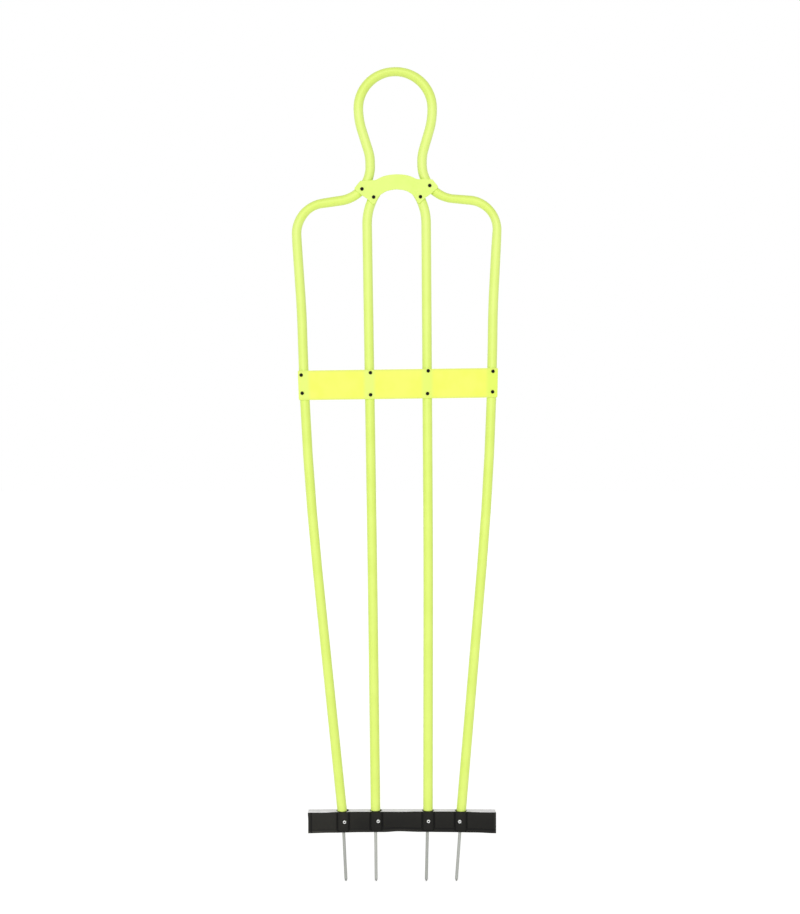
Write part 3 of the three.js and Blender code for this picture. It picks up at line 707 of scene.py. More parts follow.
def brightZinc():
    # bright zinc plate: clear grey with small clouds, and painted shade in the bolts' sockets
    finish = Finish("bright_zinc", {"Metallic": 0.95})
    place = finish.objectPlace()
    cloud = finish.noise(place, 0.002, 3)
    socket = finish.attribute("socket", "Fac")
    clean = finish.blend(cloud, *tones["bright"])
    # painted shade in the sockets
    finish.colour(finish.blend(socket * tones["socketShare"], clean, tones["socketShade"]))
    finish.roughness(0.26 + cloud * 0.14 + socket * 0.3)
    finish.relief(finish.noise(place, 0.0004, 2), 0.000015)
    return finish


def drawnZinc():
    # zinc-plated drawn rod: fine lines along the rod, clouds, a darker tone towards the point, and a
    # tarnish that differs from rod to rod
    finish = Finish("drawn_zinc", {"Metallic": 0.6})
    lay = finish.attribute("lay")
    lines = finish.noise(finish.stretch(lay, (1, 1, 0.01)), 0.0007, 3)
    cloud = finish.noise(finish.stretch(lay, (1, 1, 0.4)), 0.006, 3)
    tint = finish.blend(cloud * 0.6 + lines * 0.4, *tones["rod"])
    tint = finish.blend(finish.attribute("tarnish", "Fac"), tint, tones["rodTarnish"])
    fromPoint = finish.along(lay, "Z")
    nearPoint = 1 - finish.rise(fromPoint + cloud * 0.004, *tones["pointFade"])
    finish.colour(finish.blend(nearPoint * tones["pointShare"], tint, tones["rodPointTone"]))
    finish.roughness(0.34 + lines * 0.14 + nearPoint * 0.2)
    finish.relief(lines, 0.00004)
    return finish


def blackNylon():
    # moulded nylon: dull black with a soft grain
    finish = Finish("black_nylon", {"Specular IOR Level": 0.4})
    place = finish.objectPlace()
    cloud = finish.noise(place, 0.004, 3)
    finish.colour(finish.blend(cloud, *tones["nylon"]))
    finish.roughness(0.5 + cloud * 0.15)
    finish.relief(finish.noise(place, 0.0006, 2), 0.00004)
    return finish


tubeFinish = tubePlastic()
neckFinish = sheetPlastic("neck_sheet", neon["neck"], neon["neckShade"])
chestFinish = sheetPlastic("chest_sheet", neon["chest"], neon["chestShade"], neon["chestBacked"],
                           neon["chestDeep"])
screwFinish, rubberFinish, angleFinish = blackSteel(), coverRubber(), galvanised()
boltFinish, spikeFinish, plugFinish = brightZinc(), drawnZinc(), blackNylon()
print("finishes ready")


# Fasteners' places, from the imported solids, and the tubes

neckScrews = [f"neck_screw_{i}" for i in range(1, 5)]
chestScrews = [f"chest_screw_{i}" for i in range(1, 9)]
bolts = [f"base_bolt_{i}" for i in range(1, 5)]
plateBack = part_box("chest_plate")[1].y

holes = dict(
    screwInTube=0.0021,       # radius
    screwInPlate=0.0024,
    bolt=0.0028,
    past=0.002,               # how far a cutter reaches past the piece
    sides=40,
    start=0.03,               # turns the cutter, so that its corners meet no others
)


def drill(node, radius, front, back):
    # a round cutter along Y through a node's middle
    rings = turnedRings([(radius, front), (radius, back)], holes["sides"], holes["start"])
    return skin("drill", acrossFigure(rings, centre(node), 0, 1))


def makeTube(node, path, screws, itsBolts):
    # an outer and an inner wall that meet at both ends; a screw's hole passes the front wall only
    outside = tubeRings(path, tubing["radius"])
    inside = tubeRings(path, tubing["radius"] - tubing["wall"])
    grid, lay, upright = (np.concatenate([out, within[::-1]]) for out, within in zip(outside, inside))
    piece = skin(node + "_dressed", grid, {"lay": lay, "upright": upright}, ring=True)
    reach = tubing["radius"] + holes["past"]
    cutters = [drill(each, holes["screwInTube"], -reach, 0) for each in screws]
    carve(piece, cutters + [drill(each, holes["bolt"], -reach, reach) for each in itsBolts])
    finishPiece(piece, tubeFinish, node)


makeTube("outer_tube", outerPath, neckScrews[::3] + chestScrews[:2] + chestScrews[6:], bolts[::3])
makeTube("inner_tube", innerPath, neckScrews[1:3] + chestScrews[2:6], bolts[1:3])
print("tubes bent")


# Plates

plates = dict(
    edge=0.0004,              # rounding of the cut edges
    edgeRings=4,
    faceInset=0.0012,         # of the ring that closes a face
    neckWidth=0.191,
    neckHeight=0.067,
    neckThickness=0.0025,
    neckDrop=0.021,           # lower tips, below the neck's base
    cornerBlur=0.0026,        # rounding of the neck plate's corners
    outlineStep=0.0007,
    curveSteps=12,            # between two points of a curved stretch
    chestHeight=1.0183,
    chestTall=0.067,
    chestThickness=0.0022,
    chestOverhang=0.0016,
    chestCorner=0.0026,
    cornerStart=0.5,          # turn of the first column in a chest plate's corner
    cornerColumns=6,
    chestStep=0.001,          # between two columns
    chestRows=13,             # up each face
    chestBow=0.00035,         # how far the sheet bellies out between two tubes
    backedHalfWidth=0.0065,   # of the band behind which a tube shows
    backedFade=0.0105,
)

# half of the neck plate's outline, right of the middle: (share of half its width, share of its height)
archOuter = [(0, 1), (0.16, 0.985), (0.32, 0.935), (0.493, 0.82)]
ear = [(0.86, 0.803), (1, 0.554), (0.976, 0.497), (0.82, 0.31), (0.7, 0.195), (0.56, 0)]
archInner = [(0.51, 0.02), (0.445, 0.2), (0.374, 0.315), (0.219, 0.44), (0, 0.493)]


def smoothLine(points, steps):
    # Catmull-Rom: each stretch is a cubic with the slopes (next - previous) / 2 at its ends
    p = np.array(points, float)
    padded = np.vstack([p[:1], p, p[-1:]])
    a, b, c, d = padded[:-3, None], padded[1:-2, None], padded[2:-1, None], padded[3:, None]
    t = np.linspace(0, 1, steps, endpoint=False)[None, :, None]
    slopeB, slopeC = (c - a) / 2, (d - b) / 2
    cubic = 2 * b - 2 * c + slopeB + slopeC
    square = -3 * b + 3 * c - 2 * slopeB - slopeC
    curve = cubic * t ** 3 + square * t ** 2 + slopeB * t + b
    return np.vstack([curve.reshape(-1, 2), p[-1:]])


def evenOutline(points, step):
    # points at even distances round a closed outline
    ring = np.vstack([points, points[:1]])
    length = np.concatenate([[0], np.cumsum(np.linalg.norm(np.diff(ring, axis=0), axis=1))])
    count = int(length[-1] / step)
    where = np.linspace(0, length[-1], count, endpoint=False)
    return np.stack([np.interp(where, length, ring[:, i]) for i in range(2)], -1)


def blurOutline(points, step, width):
    # each point moves to the mean of its neighbours within half a width
    reach = int(width / step / 2)
    shifts = range(-reach, reach + 1)
    return sum(np.roll(points, shift, axis=0) for shift in shifts) / len(shifts)


def neckOutline():
    # half of the outline in shares, its mirror image, evened out and rounded at the corners
    steps = plates["curveSteps"]
    half = np.vstack([smoothLine(archOuter, steps), ear, smoothLine(archInner, steps)])
    mirrored = (half[1:-1] * (-1, 1))[::-1]
    shares = np.vstack([half, mirrored])
    across = shares[:, 0] * plates["neckWidth"] / 2
    foot = figure["neckBase"] - plates["neckDrop"]
    outline = onFigure(across, foot + shares[:, 1] * plates["neckHeight"])
    outline = evenOutline(outline, plates["outlineStep"])
    return blurOutline(outline, plates["outlineStep"], plates["cornerBlur"])


def makePlate(node, grid, extras, screws, finish):
    # a plate's skin with a clearance hole for each screw
    piece = skin(node + "_dressed", grid, extras)
    front, back = grid[..., 1].min() - holes["past"], plateBack + holes["past"]
    carve(piece, [drill(each, holes["screwInPlate"], front, back) for each in screws])
    finishPiece(piece, finish, node, crease=50)


def makeNeckPlate():
    # the outline drawn in by inset, at the depths of a section with two rounded edges
    outline = neckOutline()
    before, after = (np.roll(outline, shift, axis=0) for shift in (1, -1))
    tangent = (after - before) / np.linalg.norm(after - before, axis=1, keepdims=True)
    area = np.sum(outline[:, 0] * after[:, 1] - outline[:, 1] * after[:, 0])
    inward = leftOf(tangent) * np.sign(area)
    thick, edge = plates["neckThickness"], plates["edge"]
    turn = np.linspace(0, np.pi / 2, plates["edgeRings"])
    inset = np.concatenate([[plates["faceInset"]], edge * (1 - np.sin(turn))])
    depth = np.concatenate([[0], edge * (1 - np.cos(turn))])
    inset = np.concatenate([inset, inset[::-1]])[:, None, None]
    place = outline + inward * inset
    depth = np.concatenate([depth, thick - depth[::-1]])[:, None] + 0 * place[..., 0]
    sawn = (depth > 0) & (depth < thick)
    grid = np.stack([place[..., 0], plateBack - thick + depth, place[..., 1]], -1)
    makePlate("neck_plate", grid, {"edge": sawn}, neckScrews, neckFinish)


def makeChestPlate():
    # a section with rounded edges, carried from the left outer tube to the right one
    tall, thick, edge = plates["chestTall"], plates["chestThickness"], plates["edge"]
    reach = tubing["radius"] + plates["chestOverhang"]
    spanEnd = figure["shoulderHalfSpan"] * figure["waistSpanShare"]
    level = figure["rise"] * spanEnd * plates["chestHeight"] / figure["neckBase"]
    width = 2 * (spanEnd + reach)
    turn = np.linspace(0, np.pi / 2, plates["edgeRings"])
    corner, step = plates["chestCorner"], plates["chestStep"]
    rounds = np.linspace(plates["cornerStart"], np.pi / 2, plates["cornerColumns"])
    rounds = corner * (1 - np.cos(rounds))
    body = np.arange(corner + step, width / 2, step)
    fromEnd = np.unique(np.concatenate([edge * (1 - np.cos(turn)), rounds, body]))
    share = np.concatenate([fromEnd / width, 1 - fromEnd[::-1] / width])[:, None]
    fromEnd = np.concatenate([fromEnd, fromEnd[::-1]])[:, None]
    halfTall = tall / 2 - quarterRound(fromEnd, corner)
    thin = quarterRound(fromEnd, edge)
    # the section runs up the front, over the top edge, down the back and under the bottom edge
    face, cos, sin = np.linspace(-1, 1, plates["chestRows"]), np.cos(turn[1:]), np.sin(turn[1:])
    flat, full = 0 * face, 1 + 0 * cos
    straight = np.concatenate([face, full, full, -face, -full, -full]) + 0 * share
    outward = np.concatenate([flat, sin, cos, flat, -sin, -cos])
    deep = np.concatenate([flat, edge * (1 - cos), thick - edge * (1 - sin),
                           flat + thick, thick - edge * (1 - cos), edge * (1 - sin)])
    height = plates["chestHeight"] + (halfTall - edge) * straight + edge * outward
    left = legX(outerPath, -1, height - level) - reach
    right = legX(outerPath, 1, height + level) + reach
    x = left + (right - left) * share
    height = height + level * (2 * share - 1)
    lines = [legX(path, side, height) for path, side in feet]
    nearest = np.min([np.abs(x - line) for line in lines], axis=0)
    nearest = np.where((x < lines[0]) | (x > lines[-1]), 0, nearest)
    spans = [(x - a) / (b - a) for a, b in zip(lines[:-1], lines[1:])]
    belly = sum(np.sin(np.pi * np.clip(span, 0, 1)) for span in spans)
    y = plateBack - thick + np.clip(deep + 0 * share, thin, thick - thin)
    y = y - plates["chestBow"] * belly ** 2
    backed = 1 - np.clip((nearest - plates["backedHalfWidth"]) / plates["backedFade"], 0, 1)
    extras = {"edge": np.abs(straight) == 1, "backed": backed ** 2 * (3 - 2 * backed)}
    grid = np.stack([x, y, height], -1)
    makePlate("chest_plate", grid, extras, chestScrews, chestFinish)


makeNeckPlate()
makeChestPlate()
print("plates cut")


# Screws, bolts and nuts

screw = dict(
    headRadius=0.004,
    headRise=0.0026,
    headRim=0.0008,
    shank=0.0021,
    length=0.013,
    point=0.004,
    pitch=0.0014,
    threadDepth=0.00055,
    armHalfWidth=0.00045,
    armReach=0.002,
    recessDepth=0.0016,
    roundness=0.98,           # of the dome
    armSoftness=0.00018,      # of an arm's sides
    armEndSoftness=0.0003,
    armRise=0.55,             # share by which an arm is shallower at its end
    tip=0.04,                 # share of the radius that is left at the point
    sides=72,
    headRings=34,
    shankRings=90,
    spin=2.4,                 # turn from one screw's cross to the next
    chestSpin=1.0,            # turn of the first chest screw's cross
)

# the flat side of a screw's or a bolt's head that bears on the work
underside = dict(
    rimShare=0.4,             # of the rim's height, where its lower edge sets in
    inset=0.0002,
    ease=0.0001,              # round the shank
)


def threadRadius(kind, along, turn, radius, taper=1):
    # radius - depth * (1 - ridge), where the ridge is a triangle wave that climbs a pitch a turn
    wave = np.abs(((along / kind["pitch"] - turn / (2 * np.pi)) % 1) * 2 - 1)
    return (radius - kind["threadDepth"] * (1 - wave)) * taper


def headGrid(kind):
    # radii of a head's rings, closer together towards its rim, and the angles round it
    share = np.linspace(0.01, 1, kind["headRings"])[:, None]
    turn = np.linspace(0, 2 * np.pi, kind["sides"], endpoint=False)[None]
    return kind["headRadius"] * np.sin(share * np.pi / 2), turn


def fastenerRings(kind, radius, turn, height, along, taper):
    # a head from its middle to its rim, its flat underside, and a threaded shank
    outer, low = kind["headRadius"], kind["headRim"] * underside["rimShare"]
    rim = turnedRings([(outer, low), (outer - underside["inset"], 0),
                       (kind["shank"] + underside["ease"], 0)], kind["sides"])
    shank = threadRadius(kind, along, turn, kind["shank"], taper)
    return np.concatenate([turned(radius, turn, height), rim, turned(shank, turn, -along)])


def crossArm(aside, along):
    # one arm of a cross recess, deepest in the middle
    width = edgeStep(screw["armHalfWidth"] - np.abs(aside), screw["armSoftness"])
    reach = edgeStep(screw["armReach"] - np.abs(along), screw["armEndSoftness"])
    return width * reach * (1 - screw["armRise"] * np.abs(along) / screw["armReach"])


def makeScrew(node, face, spin):
    # a dome of rim + (rise - rim) * sqrt(1 - roundness * share of the radius^3) with a cross
    # recess, and a threaded shank to a point
    radius, turn = headGrid(screw)
    share = radius / screw["headRadius"]
    dome = np.sqrt(1 - screw["roundness"] * share ** 3)
    dome = screw["headRim"] + (screw["headRise"] - screw["headRim"]) * dome
    a, b = radius * np.cos(turn), radius * np.sin(turn)
    height = dome - screw["recessDepth"] * np.maximum(crossArm(a, b), crossArm(b, a))
    along = np.linspace(0, screw["length"], screw["shankRings"])[:, None]
    taper = np.clip((screw["length"] - along) / screw["point"], screw["tip"], 1)
    rings = fastenerRings(screw, radius, turn, height, along, taper)
    cos, sin = math.cos(spin), math.sin(spin)
    rings = rings @ np.array([[cos, sin, 0], [-sin, cos, 0], [0, 0, 1]])
    piece = skin(node + "_dressed", acrossFigure(rings, centre(node), face, -1))
    finishPiece(piece, screwFinish, node)


for i, node in enumerate(neckScrews):
    makeScrew(node, plateBack - plates["neckThickness"], screw["spin"] * i)
for i, node in enumerate(chestScrews):
    makeScrew(node, plateBack - plates["chestThickness"], screw["chestSpin"] + screw["spin"] * i)

bolt = dict(
    headRadius=0.0043,
    headRise=0.00275,
    headRim=0.0007,
    headFlat=0.0027,
    socketAcross=0.0035,
    socketDepth=0.0017,
    shank=0.0025,
    pitch=0.0008,
    threadDepth=0.0004,
    headFall=1.6,             # power of the dome's fall outside its flat
    socketSoftness=0.00014,
    sinkDepth=0.0001,         # of the shallow ring round the socket
    sinkWidth=0.0003,
    sinkSoftness=0.0002,
    firstSpin=0.4,            # turn of the first bolt's socket
    spin=1.0,                 # turn from one bolt's socket to the next
    endTaper=0.75,            # share of the radius that is left at the shank's end
    endLength=0.0006,
    sides=96,
    headRings=40,
    shankRings=220,
    nutAcross=0.008,
    nutHeight=0.0047,
    nutChamfer=0.58,          # height per radius of the chamfered corners
    nutFaceShare=0.99,        # radius of a nut's flat faces, of half its width
    nutEase=0.0003,           # between bore and shank
    nutLead=0.0004,           # widening of the bore at its ends
    nutLeadLength=0.0005,
    nutRings=48,
)


def hexReach(turn, across):
    # distance from the middle to a hexagon's side, at an angle
    return across / 2 / np.cos((turn + np.pi / 6) % (np.pi / 3) - np.pi / 6)


def makeBolt(node, spin):
    # a button head that falls by slope^headFall outside its flat, with a hexagon socket, and a
    # threaded shank
    low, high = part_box(node)
    seat = low.y + bolt["headRise"]
    length = high.y - seat
    radius, turn = headGrid(bolt)
    slope = np.clip((radius - bolt["headFlat"]) / (bolt["headRadius"] - bolt["headFlat"]), 0, 1)
    dome = bolt["headRise"] - (bolt["headRise"] - bolt["headRim"]) * slope ** bolt["headFall"]
    inside = hexReach(turn + spin, bolt["socketAcross"]) - radius
    socket = edgeStep(inside, bolt["socketSoftness"])
    sink = edgeStep(inside + bolt["sinkWidth"], bolt["sinkSoftness"])
    height = dome - bolt["socketDepth"] * socket - bolt["sinkDepth"] * sink
    along = np.linspace(0, length, bolt["shankRings"])[:, None]
    taper = bolt["endTaper"] + (1 - bolt["endTaper"]) * (length - along) / bolt["endLength"]
    rings = fastenerRings(bolt, radius, turn, height, along, np.clip(taper, bolt["endTaper"], 1))
    socket = np.concatenate([socket, np.zeros((len(rings) - len(socket), bolt["sides"]))])
    grid = acrossFigure(rings, centre(node), seat, -1)
    piece = skin(node + "_dressed", grid, {"socket": socket})
    finishPiece(piece, boltFinish, node)


def makeNut(node):
    # hexagon with both ends chamfered by a cone, and a threaded bore
    turn = np.linspace(0, 2 * np.pi, bolt["sides"], endpoint=False)[None]
    along = np.linspace(0, bolt["nutHeight"], bolt["nutRings"])[:, None]
    fromEnd = np.minimum(along, bolt["nutHeight"] - along)
    cone = bolt["nutAcross"] / 2 * bolt["nutFaceShare"] + fromEnd / bolt["nutChamfer"]
    outside = np.minimum(hexReach(turn, bolt["nutAcross"]), cone)
    lead = bolt["nutLead"] * np.clip(1 - fromEnd / bolt["nutLeadLength"], 0, 1)
    bore = threadRadius(bolt, along, turn, bolt["shank"] + bolt["nutEase"]) + lead
    rings = turned(np.concatenate([outside, bore[::-1]]), turn, np.concatenate([along, along[::-1]]))
    grid = acrossFigure(rings, centre(node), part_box(node)[0].y, 1)
    piece = skin(node + "_dressed", grid, ring=True)
    finishPiece(piece, boltFinish, node)


for i, node in enumerate(bolts):
    makeBolt(node, bolt["firstSpin"] + bolt["spin"] * i)
    makeNut(node.replace("bolt", "nut"))
print("fasteners turned")


# Spikes and plugs

spike = dict(
    radius=0.0035,
    reach=0.116,
    point=0.0085,
    tipRadius=0.0011,
    tipEdge=0.0005,
    seat=0.0158,              # under the head, above the tube's end
    headRadius=0.0055,
    headHeight=0.003,
    headEdge=0.0004,
    swell=2.6,                # power of the point's growth
    offsets=(-0.04, -0.025, -0.09, 0.06),   # off the tube's axis at the seat, in tube radii
    slants=(-0.048, -0.01, 0.021, 0.072),   # sideways shift per height, for each foot
    tarnish=(0.17, 0, 0.17, 0.09),          # share of the tarnished tone, for each spike
    pointRings=15,
    rodRings=42,
    sides=48,
)

plug = dict(
    gap=0.0003,
    foot=0.0005,              # its lower face, above the tube's end
    top=0.037,
    bevel=0.001,
    lead=0.0026,
    edge=0.0003,
    boreStart=0.04,           # turns the bore, so that its corners meet no others
    sides=64,
)
poleRadius = 0.00005          # of the ring that closes a turned shape on its axis


def footOf(path, side):
    # where a leg ends, and its direction upwards
    end = 0 if side < 0 else -1
    return path["at"][end], path["way"][end] * -side


def spikeStance(i):
    # a spike is a little off its tube's axis at the head's seat, and has a slant of its own
    at, up = footOf(*feet[i])
    slant = np.array([spike["slants"][i], 1])
    slant = slant / np.linalg.norm(slant)
    aside = np.array([spike["offsets"][i] * tubing["radius"], 0])
    return at + aside + (up - slant) * spike["seat"], slant


def stand(rings, stance):
    # puts rings round +Z on a place, with +Z along a direction in the figure's plane
    at, up = stance
    x = at[0] + rings[..., 0] * up[1] + rings[..., 2] * up[0]
    z = at[1] - rings[..., 0] * up[0] + rings[..., 2] * up[1]
    return np.stack([x, rings[..., 1], z], -1)


def roundedProfile(corners, radius, steps=4):
    # each corner of a profile is cut short by the radius, at most to near the middle of a side,
    # and rounded by a quadratic curve
    p = np.array(corners, float)
    before, after = p[:-2] - p[1:-1], p[2:] - p[1:-1]
    sides = [np.linalg.norm(way, axis=1, keepdims=True) for way in (before, after)]
    reach = np.minimum(radius, 0.45 * np.minimum(*sides))
    a, b = (p[1:-1] + way * reach / side for way, side in zip((before, after), sides))
    t = np.linspace(0, 1, steps)[None, :, None]
    curve = a[:, None] * (1 - t) ** 2 + 2 * p[1:-1][:, None] * t * (1 - t) + b[:, None] * t ** 2
    return np.vstack([p[:1], curve.reshape(-1, 2), p[-1:]])


def makeSpike(i):
    # blunt point whose radius grows by 1 - (1 - t)^swell, an even rod, a flat head on top
    radius, low, seat = spike["radius"], -spike["reach"], spike["seat"]
    t = np.linspace(0, 1, spike["pointRings"] + 1)[1:]
    swell = spike["tipRadius"] + (radius - spike["tipRadius"]) * (1 - (1 - t) ** spike["swell"])
    point = np.stack([swell, low + spike["point"] * t], -1)
    tip = roundedProfile([(poleRadius, low), (spike["tipRadius"], low), point[0]], spike["tipEdge"])
    along = np.linspace(low + spike["point"], seat, spike["rodRings"] + 2)[1:-1]
    rod = np.stack([radius + 0 * along, along], -1)
    top = seat + spike["headHeight"]
    head = roundedProfile([(radius, seat), (spike["headRadius"], seat), (spike["headRadius"], top),
                           (poleRadius, top)], spike["headEdge"])
    rings = turnedRings(np.vstack([tip, point[1:], rod, head]), spike["sides"])
    extras = {"lay": rings - np.array([0, 0, low]), "tarnish": spike["tarnish"][i] + 0 * rings[..., 0]}
    node = f"spike_{i + 1}"
    piece = skin(node + "_dressed", stand(rings, spikeStance(i)), extras)
    finishPiece(piece, spikeFinish, node)


def makePlug(i):
    # a bush up the tube's end, with a stepped bore along the spike and a hole for the bolt
    outer = tubing["radius"] - tubing["wall"] - plug["gap"]
    foot, top, past = plug["foot"], plug["top"], holes["past"]
    corners = [(poleRadius, foot), (outer, foot), (outer, top - plug["lead"]),
               (outer - plug["bevel"], top), (poleRadius, top)]
    rings = turnedRings(roundedProfile(corners, plug["edge"]), plug["sides"])
    node = f"spike_plug_{i + 1}"
    piece = skin(node + "_dressed", stand(rings, footOf(*feet[i])))
    rod, head = spike["radius"] + plug["gap"], spike["headRadius"] + plug["gap"]
    seat = spike["seat"] - plug["gap"]
    bore = turnedRings([(rod, -past), (rod, seat), (head, seat), (head, top + past)], plug["sides"],
                       plug["boreStart"])
    reach = tubing["radius"] + past
    cutters = [skin("bore", stand(bore, spikeStance(i))), drill(bolts[i], holes["bolt"], -reach, reach)]
    carve(piece, cutters)
    finishPiece(piece, plugFinish, node)


for i in range(len(feet)):
    makeSpike(i)
    makePlug(i)
print("spikes set")


# Base angle and cover

def makeAngle():
    # an L section, its outside corner rounded, carried along X; notches and holes are cut out
    low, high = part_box("base_angle")
    turn = np.linspace(0, np.pi / 2, angle["roundSteps"])
    roundY = high.y - angle["outerRound"] * (1 - np.cos(turn))
    roundZ = high.z - angle["outerRound"] * (1 - np.sin(turn))
    y = np.concatenate([[webFront, high.y], roundY, [low.y, low.y, webFront]])
    z = np.concatenate([[low.z, low.z], roundZ, [high.z, flangeUnder, flangeUnder]])
    x = np.linspace(low.x, high.x, angle["parts"] + 1)[:, None]
    drop = angle["bow"] * (x / high.x) ** 2 * z / high.z
    piece = skin("base_angle_dressed", np.stack([x + 0 * y, y + 0 * x, z - drop], -1))
    radius, past = tubing["radius"] + angle["notchClearance"], holes["past"]
    cutters = []
    for (path, side), offset, node in zip(feet, angle["notchOffsets"], bolts):
        notch = turnedRings([(radius, flangeUnder - past), (radius, high.z + past)], angle["notchSides"])
        notch[..., 0] += legX(path, side, high.z) + offset * tubing["radius"]
        cutters += [skin("notch", notch), drill(node, holes["bolt"], webFront - past, high.y + past)]
    carve(piece, cutters)
    edges = piece.modifiers.new("edges", "BEVEL")
    edges.width = angle["bevel"]
    edges.segments = 2
    edges.limit_method = "ANGLE"
    edges.angle_limit = angle["bevelTurn"]
    settle(piece)
    finishPiece(piece, angleFinish, "base_angle")


cover = dict(
    halfLength=0.2144,
    height=0.0449,
    face=-0.0131,             # the strip's face
    back=-0.0093,
    channelGap=0.0003,
    padHalfWidth=0.0136,
    padFlat=0.0099,
    padRise=0.0015,
    padCorner=0.006,          # rounding of a pad's lower corners
    padFoot=0.0025,           # a pad's lower end, above the bottom edge
    padOffsets=(0.07, 0.17, 0.025, 0.01),   # shares of the tube's radius
    grooveHalfWidth=0.0032,
    grooveDepth=0.0015,
    grooveFade=0.004,         # the grooves get shallow this far above the bottom edge
    grooveLeast=0.4,          # share of their depth at the bottom edge
    padShadeWidth=0.0125,          # width of the painted shade that darkens a pad's margins
    shadeShare=0.5,
    edge=0.0011,
    edgeRings=5,
    rim=0.0077,               # height of a line over the bottom edge
    endRim=0.0082,            # distance of a line from each end
    rimHalfWidth=0.0036,
    rimDepth=0.0007,
    faintLeft=0.04,           # the line over the bottom is fainter farther left than this
    faintShare=0.3,           # what is left of it there
    faintRight=0.1,           # what is left of the line at the right end
    blend=0.03,               # length over which a line or a lip fades along the strip
    litLip=0.005,                # height of the painted highlight on the lip over the bottom edge
    lipSoftness=0.0015,
    lipTone=0.6,
    lipEnd=0.03,              # it fades to the right from here
    lipFade=0.7,
    paleLip=0.0042,           # height of its palest part, at the left end
    paleSoftness=0.001,
    paleTone=1.3,
    paleEnd=-0.183,
    paleBlend=0.02,
    paleRight=0.0045,         # width of a painted highlight along the right end
    rightSoftness=0.002,
    rightTone=0.6,
    sway=0.0024,
    endHollow=0.0012,         # the left end is a little hollow below mid height
    hollowTop=0.85,           # share of the height where it is half as deep
    hollowBlend=0.5,
    hollowReach=0.006,        # how far it reaches along the strip
    columnStep=0.0008,
    rows=72,
)

# wander of the cover's edges: (share of half the length, share of the sway)
topWander = [(-1, -1), (-0.85, -1), (-0.68, -0.3), (-0.45, -0.06), (0, -0.08), (0.15, 0.12),
             (0.6, 0.12), (0.92, -0.7), (1, -0.72)]
bottomWander = [(-1, -1.54), (-0.75, -1.03), (-0.4, -0.48), (-0.2, -0.4), (-0.03, 0.38),
                (0.2, -0.19), (0.43, -0.37), (0.77, -0.76), (1, -1.52)]


def wander(rows, share):
    # a smooth step from each row's value to the next
    places, values = np.array(rows).T
    k = np.clip(np.searchsorted(places, share, side="left"), 1, len(places) - 1)
    t = np.clip((share - places[k - 1]) / (places[k] - places[k - 1]), 0, 1)
    return values[k - 1] + (values[k] - values[k - 1]) * t ** 2 * (3 - 2 * t)


def groove(distance, halfWidth):
    # (1 + cos) / 2 over the groove's width, 0 outside
    return (1 + np.cos(np.pi * np.clip(np.abs(distance) / halfWidth, 0, 1))) / 2


def padDistance(x, z, middle, foot):
    # distance inside a pad whose lower corners are round and whose top is open
    halfWidth, corner = cover["padHalfWidth"], cover["padCorner"]
    fromSide = halfWidth - np.abs(x - middle)
    fromFoot = z - foot
    a, b = np.maximum(corner - fromSide, 0), np.maximum(corner - fromFoot, 0)
    return np.where((a > 0) & (b > 0), corner - np.hypot(a, b), np.minimum(fromSide, fromFoot))


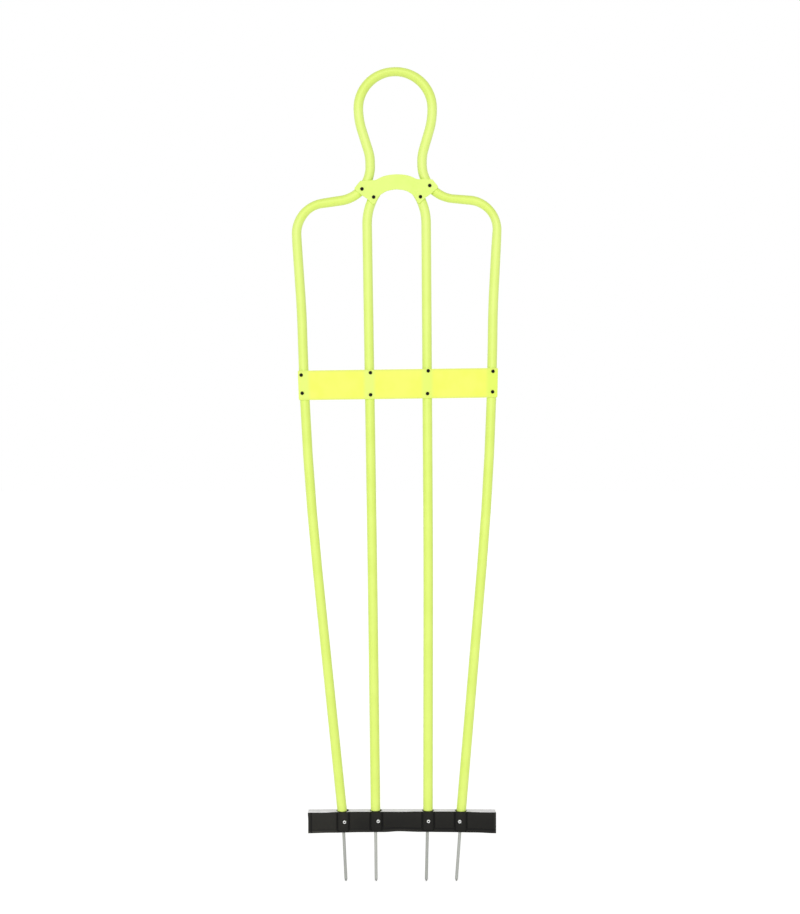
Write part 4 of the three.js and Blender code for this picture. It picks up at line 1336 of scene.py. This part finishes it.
def makeCover():
    # front: the strip's face with pads, grooves and rims as relief; back: a plane with a round
    # channel for each tube; both over the same grid of columns along X and rows up Z
    half, edge, tall = cover["halfLength"], cover["edge"], cover["height"]
    drawn = edge * (1 - np.cos(np.linspace(0, np.pi / 2, cover["edgeRings"])))
    body = np.arange(edge + cover["columnStep"], half, cover["columnStep"])
    fromEnd = np.unique(np.concatenate([drawn, body]))
    x = np.concatenate([-half + fromEnd, half - fromEnd[::-1]])[:, None]
    fromEnd = half - np.abs(x)
    between = np.linspace(edge, tall - edge, cover["rows"])[1:-1]
    rows = np.concatenate([drawn, between, tall - drawn[::-1]])[None] / tall
    bottom = cover["sway"] * wander(bottomWander, x / half)
    top = tall + cover["sway"] * wander(topWander, x / half)
    z = bottom + (top - bottom) * rows
    up = z - bottom
    fromEdge = np.minimum(up, top - z)
    depth = np.maximum(quarterRound(fromEdge, edge), quarterRound(fromEnd, edge))

    # lines over the bottom edge and beside the ends, and the painted highlight on the lip and the right
    # end
    faint = edgeStep(x + cover["faintLeft"], cover["blend"])
    faint = cover["faintShare"] + (1 - cover["faintShare"]) * faint
    bottomLine = groove(up - cover["rim"], cover["rimHalfWidth"]) * faint
    endLine = groove(fromEnd - cover["endRim"], cover["rimHalfWidth"])
    lines = np.maximum(bottomLine, endLine * np.where(x < 0, 1, cover["faintRight"]))
    depth = np.maximum(depth, cover["rimDepth"] * lines)
    # painted highlight where the rounded bottom edge and the right end catch the light
    lipFade = 1 - cover["lipFade"] * edgeStep(x - cover["lipEnd"], cover["blend"])
    litLip = cover["lipTone"] * edgeStep(cover["litLip"] - up, cover["lipSoftness"]) * lipFade
    pale = edgeStep(cover["paleEnd"] - x, cover["paleBlend"])
    litLip = litLip + cover["paleTone"] * edgeStep(cover["paleLip"] - up, cover["paleSoftness"]) * pale
    atRight = edgeStep(cover["paleRight"] - (half - x), cover["rightSoftness"])
    litLip = litLip + cover["rightTone"] * atRight

    # pads with their grooves and painted shade, and the channels behind them
    back = np.full(z.shape, cover["back"])
    reach = tubing["radius"] + cover["channelGap"]
    slope = cover["padHalfWidth"] - cover["padFlat"]
    for (path, side), offset in zip(feet, cover["padOffsets"]):
        middle = legX(path, side, tall / 2) + offset * tubing["radius"]
        inside = padDistance(x, z, middle, bottom + cover["padFoot"])
        lift = cover["padRise"] * edgeStep(inside - slope / 2, slope)
        fade = np.clip(up / cover["grooveFade"], cover["grooveLeast"], 1)
        trench = groove(inside, cover["grooveHalfWidth"]) * fade
        near = np.clip(inside / cover["grooveHalfWidth"] + 1, 0, 1)
        depth = depth * (1 - near * (fromEdge > edge)) + cover["grooveDepth"] * trench - lift
        # painted shade on each pad's margins, where its raised face turns from the light; the grooves and
        # lines are darkened too
        paintedShade = cover["shadeShare"] * np.clip(1 - inside / cover["padShadeWidth"], 0, 1) * (inside > 0)
        lines = np.maximum(lines * (1 - near), np.maximum(trench, paintedShade))
        away = np.abs(x - legX(path, side, z))
        back = np.minimum(back, -np.sqrt(np.clip(reach ** 2 - away ** 2, 0, None)))

    hollow = edgeStep(cover["hollowTop"] - rows, cover["hollowBlend"])
    hollow = hollow * np.clip(1 - (x + half) / cover["hollowReach"], 0, 1)
    wide = x + cover["endHollow"] * hollow
    front, back = np.stack([wide, cover["face"] + depth, z], -1), np.stack([wide, back, z], -1)
    lines, litLip = (np.concatenate([field, 0 * field], 1) for field in (lines, litLip))
    grid = np.concatenate([front, back[:, ::-1]], 1)
    piece = skin("base_cover_dressed", grid, {"grooveShade": lines, "litLip": litLip})
    ahead = cover["face"] - cover["padRise"] - holes["past"]
    carve(piece, [drill(node, holes["bolt"], ahead, 0) for node in bolts])
    finishPiece(piece, rubberFinish, "base_cover", crease=40)


makeAngle()
makeCover()
print("base ready")
